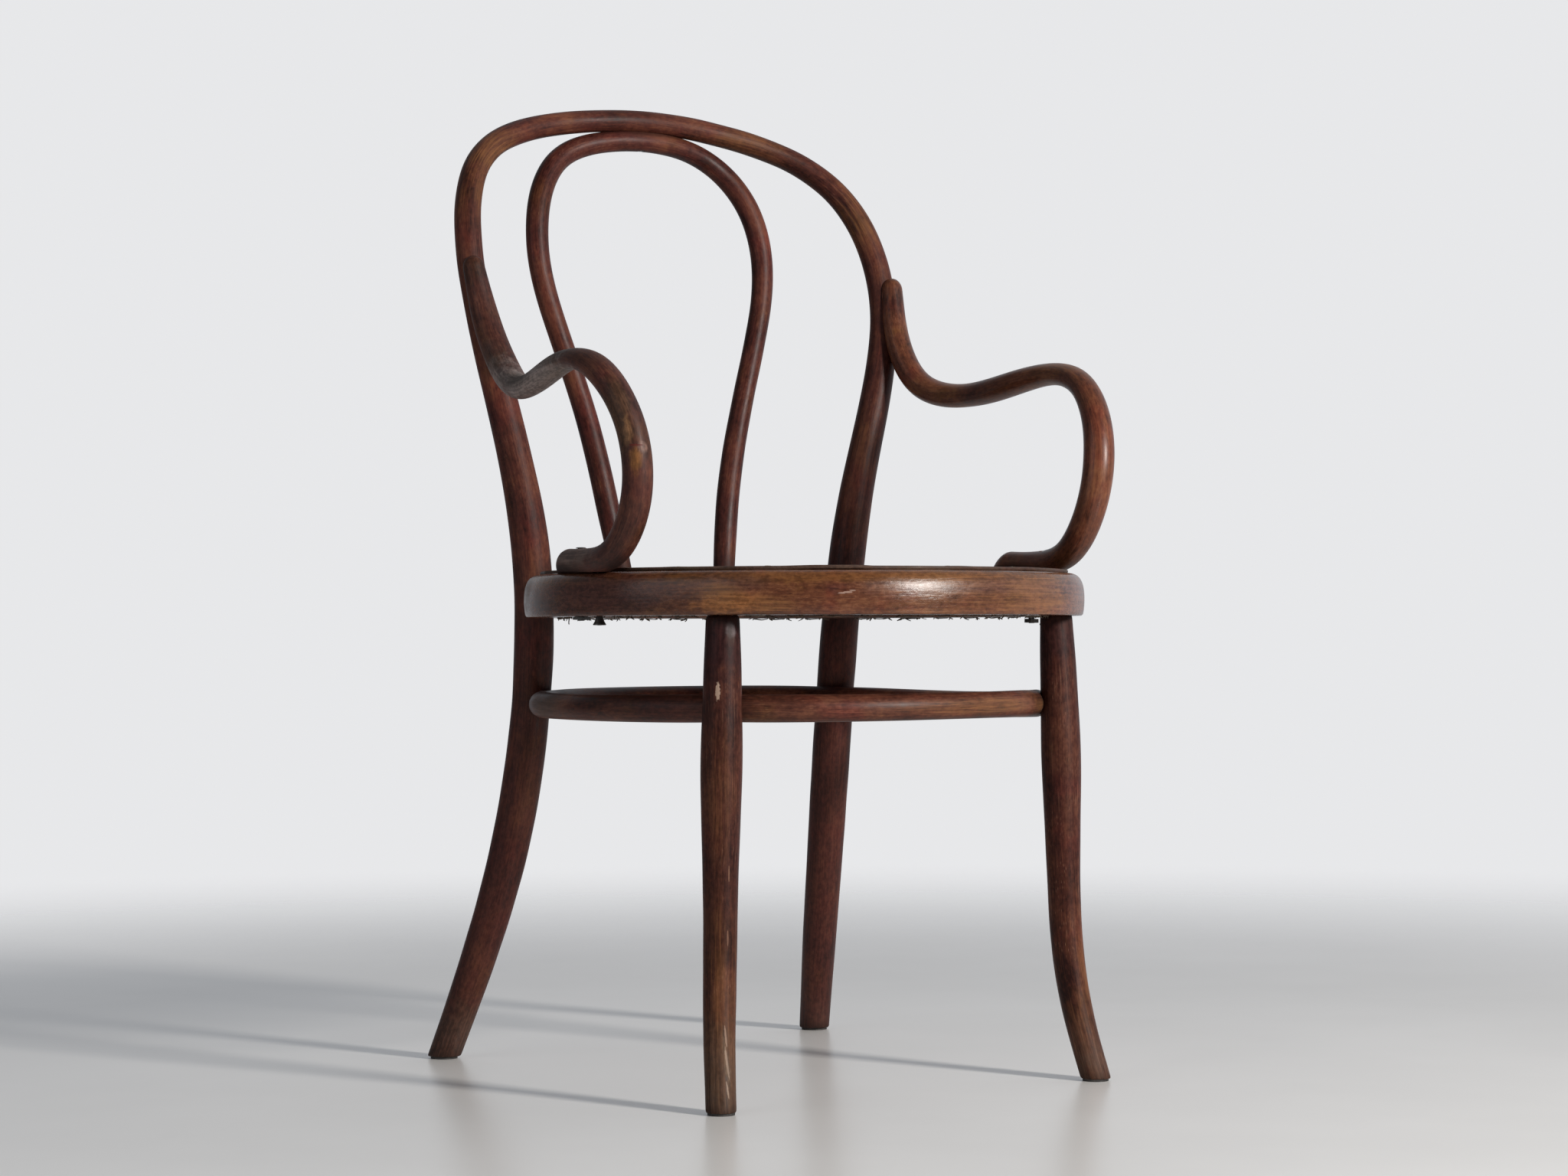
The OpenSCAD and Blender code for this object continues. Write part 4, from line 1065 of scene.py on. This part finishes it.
    # small nicks down to pale wood, sparse
    nick = N.cells(N.vec("MULTIPLY", rod, (1, 1, 0.42)), 46)
    nicks = N.math("MULTIPLY", N.step(nick, 0.045, 0.030), N.step(N.noise(rod, 9, 2), 0.56, 0.62))
    col = N.mix(N.math("MULTIPLY", nicks, 0.55 * worn + 0.2), col, (0.30, 0.17, 0.10))
    scr = N.cells(N.vec("MULTIPLY", N.vec("ADD", rod, (0.3, 0.1, 0.7)), (1, 0.16, 0.10)), 60)
    scratch = N.math("MULTIPLY", N.step(scr, 0.020, 0.010), N.step(N.noise(rod, 7, 2), 0.52, 0.60))
    col = N.mix(N.math("MULTIPLY", scratch, 0.5), col, (0.26, 0.16, 0.11))
    height = N.math("ADD", N.math("MULTIPLY", lines, 0.55), N.math("MULTIPLY", hair, 0.32))
    height = N.math("ADD", height, N.math("MULTIPLY", speckle, 0.9))
    height = N.math("SUBTRACT", height, N.math("MULTIPLY", flecks, 0.12))
    height = N.math("SUBTRACT", height, N.math("MULTIPLY", nicks, 0.9))
    wide = N.noise(N.vec("MULTIPLY", rod, (1, 1, 0.5)), 120, 3, 0.5)
    # chips, and a few thin pale lines that together make a painted highlight streak
    for (x, y, z), (rx, ry, rz), colour, deep in chips_and_glints:
        at = N.vec("MULTIPLY", N.vec("SUBTRACT", N.where(), (x * MM, y * MM, z * MM)), (1 / (rx * MM), 1 / (ry * MM), 1 / (rz * MM)))
        far = N.add("ShaderNodeVectorMath", operation="LENGTH")
        N.put(far.inputs[0], at)
        rough_edge = N.math("ADD", far.outputs["Value"], N.math("MULTIPLY", N.math("SUBTRACT", N.noise(N.where(), 420, 4, 0.6), 0.5), 0.75))
        inside = N.step(rough_edge, 1.06, 0.90)
        inner = N.mix(N.step(lines, 0.4, 0.65), tuple(c * 0.72 for c in colour), colour)
        col = N.mix(N.math("MULTIPLY", inside, 0.92), col, inner)
        height = N.math("SUBTRACT", height, N.math("MULTIPLY", inside, deep))
    n1 = N.bump(height, 0.00016 * relief, 0.75)
    n2 = N.bump(wide, 0.0005, 0.55, n1)
    rough = N.math("ADD", gloss, N.math("MULTIPLY", N.math("SUBTRACT", patch, 0.5), 0.30))
    rough = N.math("ADD", rough, N.math("MULTIPLY", N.math("SUBTRACT", speckle, 0.5), 0.22))
    rough = N.math("ADD", rough, N.math("MULTIPLY", grey_wear_and_sheen, 0.26))
    rough = N.math("ADD", rough, N.math("MULTIPLY", rub, 0.08))
    rough = N.math("ADD", rough, N.math("MULTIPLY", dirt, 0.2), True)
    return N.set(Base_Color=col, Roughness=rough, Normal=n2, Coat_Weight=coat, Coat_Roughness=varnish, Specular_IOR_Level=shine)


def _noise_colour(self, v, scale):
    n = self.add("ShaderNodeTexNoise", noise_dimensions="3D")
    self.put(n.inputs["Vector"], v)
    n.inputs["Scale"].default_value, n.inputs["Detail"].default_value = scale, 2.0
    return n.outputs["Color"]


Nodes.add_noise_colour = _noise_colour


def steel(name, base, rust, rough=0.42):
    N = Nodes(name)
    w = N.where()
    n1, n2 = N.noise(w, 160, 5, 0.65), N.noise(w, 900, 3, 0.6)
    spot = N.step(N.math("ADD", n1, N.math("MULTIPLY", N.math("SUBTRACT", n2, 0.5), 0.4)), 0.46, 0.66)
    col = N.mix(N.math("MULTIPLY", spot, 0.8), tuple(base), tuple(rust))
    r = N.math("ADD", rough, N.math("MULTIPLY", spot, 0.3), True)
    m = N.math("SUBTRACT", 0.9, N.math("MULTIPLY", spot, 0.6), True)
    return N.set(Base_Color=col, Roughness=r, Metallic=m, Normal=N.bump(N.math("ADD", n1, n2), 0.00012, 0.6))


def rubber(name):
    N = Nodes(name)
    w = N.where()
    n1, n2 = N.noise(w, 90, 4, 0.6), N.noise(w, 700, 3, 0.6)
    col = N.ramp(n1, [(0.3, (0.012, 0.011, 0.011)), (0.7, (0.045, 0.040, 0.037))])
    dust = N.step(n2, 0.55, 0.75)
    col = N.mix(N.math("MULTIPLY", dust, 0.5), col, (0.13, 0.12, 0.11))
    return N.set(Base_Color=col, Roughness=N.math("ADD", 0.62, N.math("MULTIPLY", dust, 0.2)), Normal=N.bump(n2, 0.0002, 0.6))


def cane_stuff(name):
    N = Nodes(name)
    p = N.attr("rod")
    fibre = N.noise(N.vec("MULTIPLY", p, (1, 1, 0.06)), 2600, 4, 0.6)
    age = N.noise(p, 60, 4, 0.6)
    col = N.ramp(N.math("ADD", fibre, N.math("MULTIPLY", N.math("SUBTRACT", age, 0.5), 0.9)),
                 [(0.2, (0.022, 0.013, 0.009)), (0.5, (0.075, 0.046, 0.027)), (0.85, (0.21, 0.145, 0.085))])
    return N.set(Base_Color=col, Roughness=0.66, Normal=N.bump(fibre, 0.00015, 0.8))


def brass(name):
    N = Nodes(name)
    w = N.where()
    n1, n2 = N.noise(w, 210, 4, 0.6), N.noise(w, 1300, 3, 0.6)
    tarnish = N.step(N.math("ADD", n1, N.math("MULTIPLY", N.math("SUBTRACT", n2, 0.5), 0.5)), 0.36, 0.62)
    col = N.mix(tarnish, (0.52, 0.37, 0.15), (0.11, 0.075, 0.04))
    return N.set(Base_Color=col, Roughness=N.math("ADD", 0.30, N.math("MULTIPLY", tarnish, 0.3)), Metallic=0.9, Normal=N.bump(n2, 0.00008, 0.5))


DARK, MIDC, LIGHT = (0.022, 0.0060, 0.0052), (0.083, 0.0220, 0.0145), (0.175, 0.058, 0.029)
MATS = {
    "bow_wood": wood("bow_wood", DARK, MIDC, LIGHT, gloss=0.50, coat=0.0, varnish=0.30, shine=0.20, speck=0.60,
                     tints=[((0, 270, 130), (900, 300, 420), (0.047, 0.0130, 0.0103), 0.60), ((-211, 274, 20), (40, 60, 46), (0.078, 0.043, 0.026), 0.42), ((196, 162, 600), (50, 40, 170), (0.042, 0.0125, 0.0108), 0.45),
                           ((120, 285, 890), (100, 60, 60), (0.128, 0.049, 0.019), 0.40)]),
    "hoop_wood": wood("hoop_wood", (0.021, 0.0056, 0.0050), (0.077, 0.0200, 0.0145), (0.165, 0.053, 0.030), gloss=0.45, coat=0.0, varnish=0.30, shine=0.20, speck=0.60),
    "arm_wood": wood("arm_wood", (0.040, 0.0135, 0.0090), (0.132, 0.042, 0.0215), (0.250, 0.096, 0.042), gloss=0.38, coat=0.14, shine=0.26, speck=0.7),
    "near_arm_wood": wood("near_arm_wood", (0.021, 0.0066, 0.0052), (0.068, 0.0208, 0.0146), (0.150, 0.053, 0.030), gloss=0.54, coat=0.02, shine=0.24, speck=0.7,
                          tints=[((-252, 26, 650), (34, 112, 32), (0.265, 0.208, 0.188), 0.9),
                                 ((-252, -25, 662), (30, 55, 11), (0.200, 0.155, 0.135), 0.7),
                                 ((-258, -60, 641), (24, 40, 11), (0.230, 0.175, 0.145), 0.7),
                                 ((-264, -158, 604), (10, 26, 46), (0.100, 0.050, 0.026), 0.65),
                                 ((-261.5, -170, 591), (3.8, 8, 18), (0.245, 0.120, 0.055), 0.68),
                                 ((-257, -175, 561), (6.5, 8, 14), (0.222, 0.092, 0.026), 0.75),
                                 # the pink spot at the crack is a painted highlight
                                 ((-249.5, -178, 574), (6, 8, 5), (0.280, 0.160, 0.125), 0.48),
                                 # the lighter grey on top of the near arm's foot is a painted sheen
                                 ((-251, -56, 483), (22, 56, 11), (0.190, 0.128, 0.106), 0.65)],
                          chips_and_glints=[((-256, -175, 575.5), (6, 6, 0.9), (0.110, 0.018, 0.012), 1.0)]),
    "leg_wood": wood("leg_wood", (0.018, 0.0050, 0.0040), (0.064, 0.0182, 0.0116), (0.152, 0.054, 0.029), worn=1.2, gloss=0.46, coat=0.0, shine=0.14, speck=0.7, streak=0.42,
                     tints=[((0, -191, 330), (900, 60, 150), (0.044, 0.0132, 0.0102), 0.4), ((-181, -192, 402), (40, 40, 40), (0.025, 0.0080, 0.0086), 0.85), ((181, -190, 410), (40, 40, 30), (0.030, 0.0110, 0.0110), 0.7),
                            # the small pale grey spot at the near leg's top is a painted highlight
                            ((-179.5, -207, 416), (5, 10, 7), (0.190, 0.160, 0.170), 0.6), ((-200, -216, 34), (40, 40, 64), (0.066, 0.037, 0.021), 0.55),
                            # the thin pale streak low on the near leg is a painted highlight
                            ((-195.5, -219, 44), (3.2, 9, 30), (0.200, 0.130, 0.085), 0.7), ((-188, -198, 160), (40, 40, 75), (0.042, 0.0130, 0.0092), 0.45)],
                     # the three thin pale chips at z 22 to 66 on the near leg's front belong to that painted highlight
                     # streak
                     chips_and_glints=[((-193.5, -205, 363.5), (2.9, 4.0, 11.2), (0.52, 0.36, 0.27), 1.4), ((-195.3, -218.5, 44), (1.1, 7, 16), (0.34, 0.24, 0.18), 0.8),
                            ((-193.6, -213, 66), (0.9, 6, 10), (0.33, 0.21, 0.15), 0.6), ((-198.5, -224, 22), (0.9, 6, 8), (0.34, 0.24, 0.18), 0.6),
                            ((-186.5, -207, 150), (0.8, 5, 7), (0.20, 0.10, 0.065), 0.36), ((-184.8, -208, 205), (0.7, 5, 8), (0.20, 0.10, 0.065), 0.3)]),
    "seat_wood": wood("seat_wood", (0.031, 0.0094, 0.0052), (0.102, 0.0330, 0.0158), (0.225, 0.089, 0.038), gloss=0.25, coat=0.04, bold=0.6, varnish=0.18, shine=0.42, relief=1.7,
                      tints=[((0, -39, 461), (900, 900, 6.5), (0.150, 0.060, 0.016), 0.55),
                             # the violet-grey band along the ring's face and the violet-pink patch at its right end
                             # are painted reflections in the varnish
                             ((60, -260, 452), (170, 90, 9), (0.100, 0.048, 0.043), 0.45),
                             ((190, -230, 447), (60, 70, 26), (0.150, 0.072, 0.058), 0.55),
                             ((-240, -95, 449), (36, 96, 26), (0.080, 0.0260, 0.0205), 0.75),
                             ((-190, -214, 456), (40, 50, 9), (0.085, 0.036, 0.024), 0.6),
                             ((-186, -218, 438), (36, 40, 10), (0.270, 0.105, 0.034), 0.8)],
                      chips_and_glints=[((-110, -273, 446.8), (3.2, 6, 0.8), (0.36, 0.23, 0.18), 0.6), ((-105.5, -275.5, 447.5), (4.0, 6, 0.9), (0.36, 0.23, 0.18), 0.6),
                             ((-101.5, -277, 448.9), (2.6, 6, 0.7), (0.36, 0.23, 0.18), 0.5)]),
    "stretcher_wood": wood("stretcher_wood", (0.021, 0.0066, 0.0050), (0.081, 0.0250, 0.0148), (0.182, 0.066, 0.035), gloss=0.46, coat=0.02, shine=0.24, speck=0.7,
                           # the darker end by the far front leg is partly a dark joint and partly painted shade
                           tints=[((-190, -130, 350), (50, 70, 24), (0.070, 0.0200, 0.0150), 0.7), ((155, -191, 340), (22, 22, 30), (0.036, 0.0130, 0.0095), 0.75)]),
    "panel_ply": wood("panel_ply", (0.040, 0.018, 0.011), (0.105, 0.048, 0.027), (0.20, 0.105, 0.062), gloss=0.45, coat=0.1, bold=0.8),
    "dark_steel": steel("dark_steel", (0.10, 0.095, 0.09), (0.045, 0.026, 0.017)),
    "nail_brass": brass("nail_brass"),
    "old_cane": cane_stuff("old_cane"),
    "pad_rubber": rubber("pad_rubber"),
}
PIECE_SLOT = {
    "bow": "bow_wood", "hoop": "hoop_wood", "arm_left_rod": "arm_wood", "arm_right_rod": "arm_wood", "leg_left": "leg_wood",
    "leg_right": "leg_wood", "seat_frame": "seat_wood", "panel": "panel_ply", "stretcher": "stretcher_wood",
    "cane_ends": "old_cane", "nails": "nail_brass", "rear_bolts": "dark_steel", "rear_washers": "dark_steel",
    "rear_nuts": "dark_steel", "front_bolts": "dark_steel", "front_nuts": "dark_steel", "stretcher_fix": "dark_steel"}
for name, slot in PIECE_SLOT.items():
    ob = bpy.data.objects[name]
    ob.data.materials.clear()
    ob.data.materials.append(MATS["near_arm_wood" if name == "arm_right_rod" else slot])
for name, ob in nodes.items():
    if ob.hide_render:
        continue
    slot = "pad_rubber" if name == "foot_pads" else "dark_steel"
    ob.data.materials.clear()
    ob.data.materials.append(MATS[slot])
    ob.data.shade_smooth()
    ob.data.set_sharp_from_angle(angle=math.radians(30))
    soften = ob.modifiers.new("soften", "BEVEL")
    soften.width, soften.segments, soften.limit_method, soften.angle_limit = 0.00022, 2, "ANGLE", math.radians(35)
    if name == "foot_pads":
        soften.width = 0.0006

# ---------------------------------------------------------------- stage and light

me = bpy.data.meshes.new("floor")
R = 9.0
me.from_pydata([(-R, -R, 0), (R, -R, 0), (R, R, 0), (-R, R, 0)], [], [(0, 1, 2, 3)])
floor = bpy.data.objects.new("floor", me)
bpy.context.scene.collection.objects.link(floor)
N = Nodes("floor")
w = N.where()
far = N.add("ShaderNodeVectorMath", operation="LENGTH")
N.put(far.inputs[0], w)
cloud = N.noise(w, 2.2, 4, 0.55)
N.set(Base_Color=N.ramp(cloud, [(0.3, (0.79, 0.772, 0.748)), (0.7, (0.85, 0.832, 0.808))]), Roughness=0.29, Specular_IOR_Level=0.38)
clear = N.add("ShaderNodeBsdfTransparent")
blend = N.add("ShaderNodeMixShader")
N.put(blend.inputs[0], N.step(far.outputs["Value"], 0.9, 2.9))
N.t.links.new(N.bsdf.outputs[0], blend.inputs[1])
N.t.links.new(clear.outputs[0], blend.inputs[2])
N.t.links.new(blend.outputs[0], N.out.inputs["Surface"])
me.materials.append(N.mat)

world = bpy.data.worlds.new("studio")
bpy.context.scene.world = world
world.use_nodes = True
wt = world.node_tree
wt.nodes.clear()
w_out = wt.nodes.new("ShaderNodeOutputWorld")
seen, lit, pick, path = (wt.nodes.new(k) for k in ("ShaderNodeBackground", "ShaderNodeBackground", "ShaderNodeMixShader", "ShaderNodeLightPath"))
seen.inputs[0].default_value, seen.inputs[1].default_value = (0.835, 0.84, 0.855, 1), 0.96
lit.inputs[0].default_value = (0.90, 0.94, 1.0, 1)
# the room is brightest behind the chair, to the right
gen, side_on, spread = (wt.nodes.new(k) for k in ("ShaderNodeTexCoord", "ShaderNodeVectorMath", "ShaderNodeMapRange"))
side_on.operation = "DOT_PRODUCT"
side_on.inputs[1].default_value = (0.87, 0.48, 0.05)
spread.interpolation_type = "SMOOTHSTEP"
for key, value in (("From Min", -0.1), ("From Max", 1.0), ("To Min", 0.12), ("To Max", 0.66)):
    spread.inputs[key].default_value = value
wt.links.new(gen.outputs["Generated"], side_on.inputs[0])
wt.links.new(side_on.outputs["Value"], spread.inputs["Value"])
wt.links.new(spread.outputs["Result"], lit.inputs[1])
wt.links.new(path.outputs["Is Camera Ray"], pick.inputs[0])
wt.links.new(lit.outputs[0], pick.inputs[1])
wt.links.new(seen.outputs[0], pick.inputs[2])
wt.links.new(pick.outputs[0], w_out.inputs["Surface"])


def lamp(name, at, to, size, power, colour):
    data = bpy.data.lights.new(name, "AREA")
    data.shape, data.size, data.size_y, data.energy, data.color = "RECTANGLE", size[0], size[1], power, colour
    ob = bpy.data.objects.new(name, data)
    bpy.context.scene.collection.objects.link(ob)
    ob.location = at
    ob.rotation_mode = "QUATERNION"
    ob.rotation_quaternion = (Vector(to) - Vector(at)).to_track_quat("-Z", "Y")
    return ob


centre = Vector((0, 0, 0.5))
lamp("key", centre + 4.2 * Vector((0.278, -0.909, 0.309)), centre, (0.46, 0.80), 182, (1.0, 0.965, 0.92))
lamp("fill", centre + 3.0 * Vector((-0.95, -0.10, 0.30)), centre, (2.2, 2.0), 11, (0.90, 0.95, 1.0))

view = bpy.context.scene.view_settings
view.view_transform = "Standard"
view.look = "None"
view.exposure, view.gamma = 0.0, 1.0
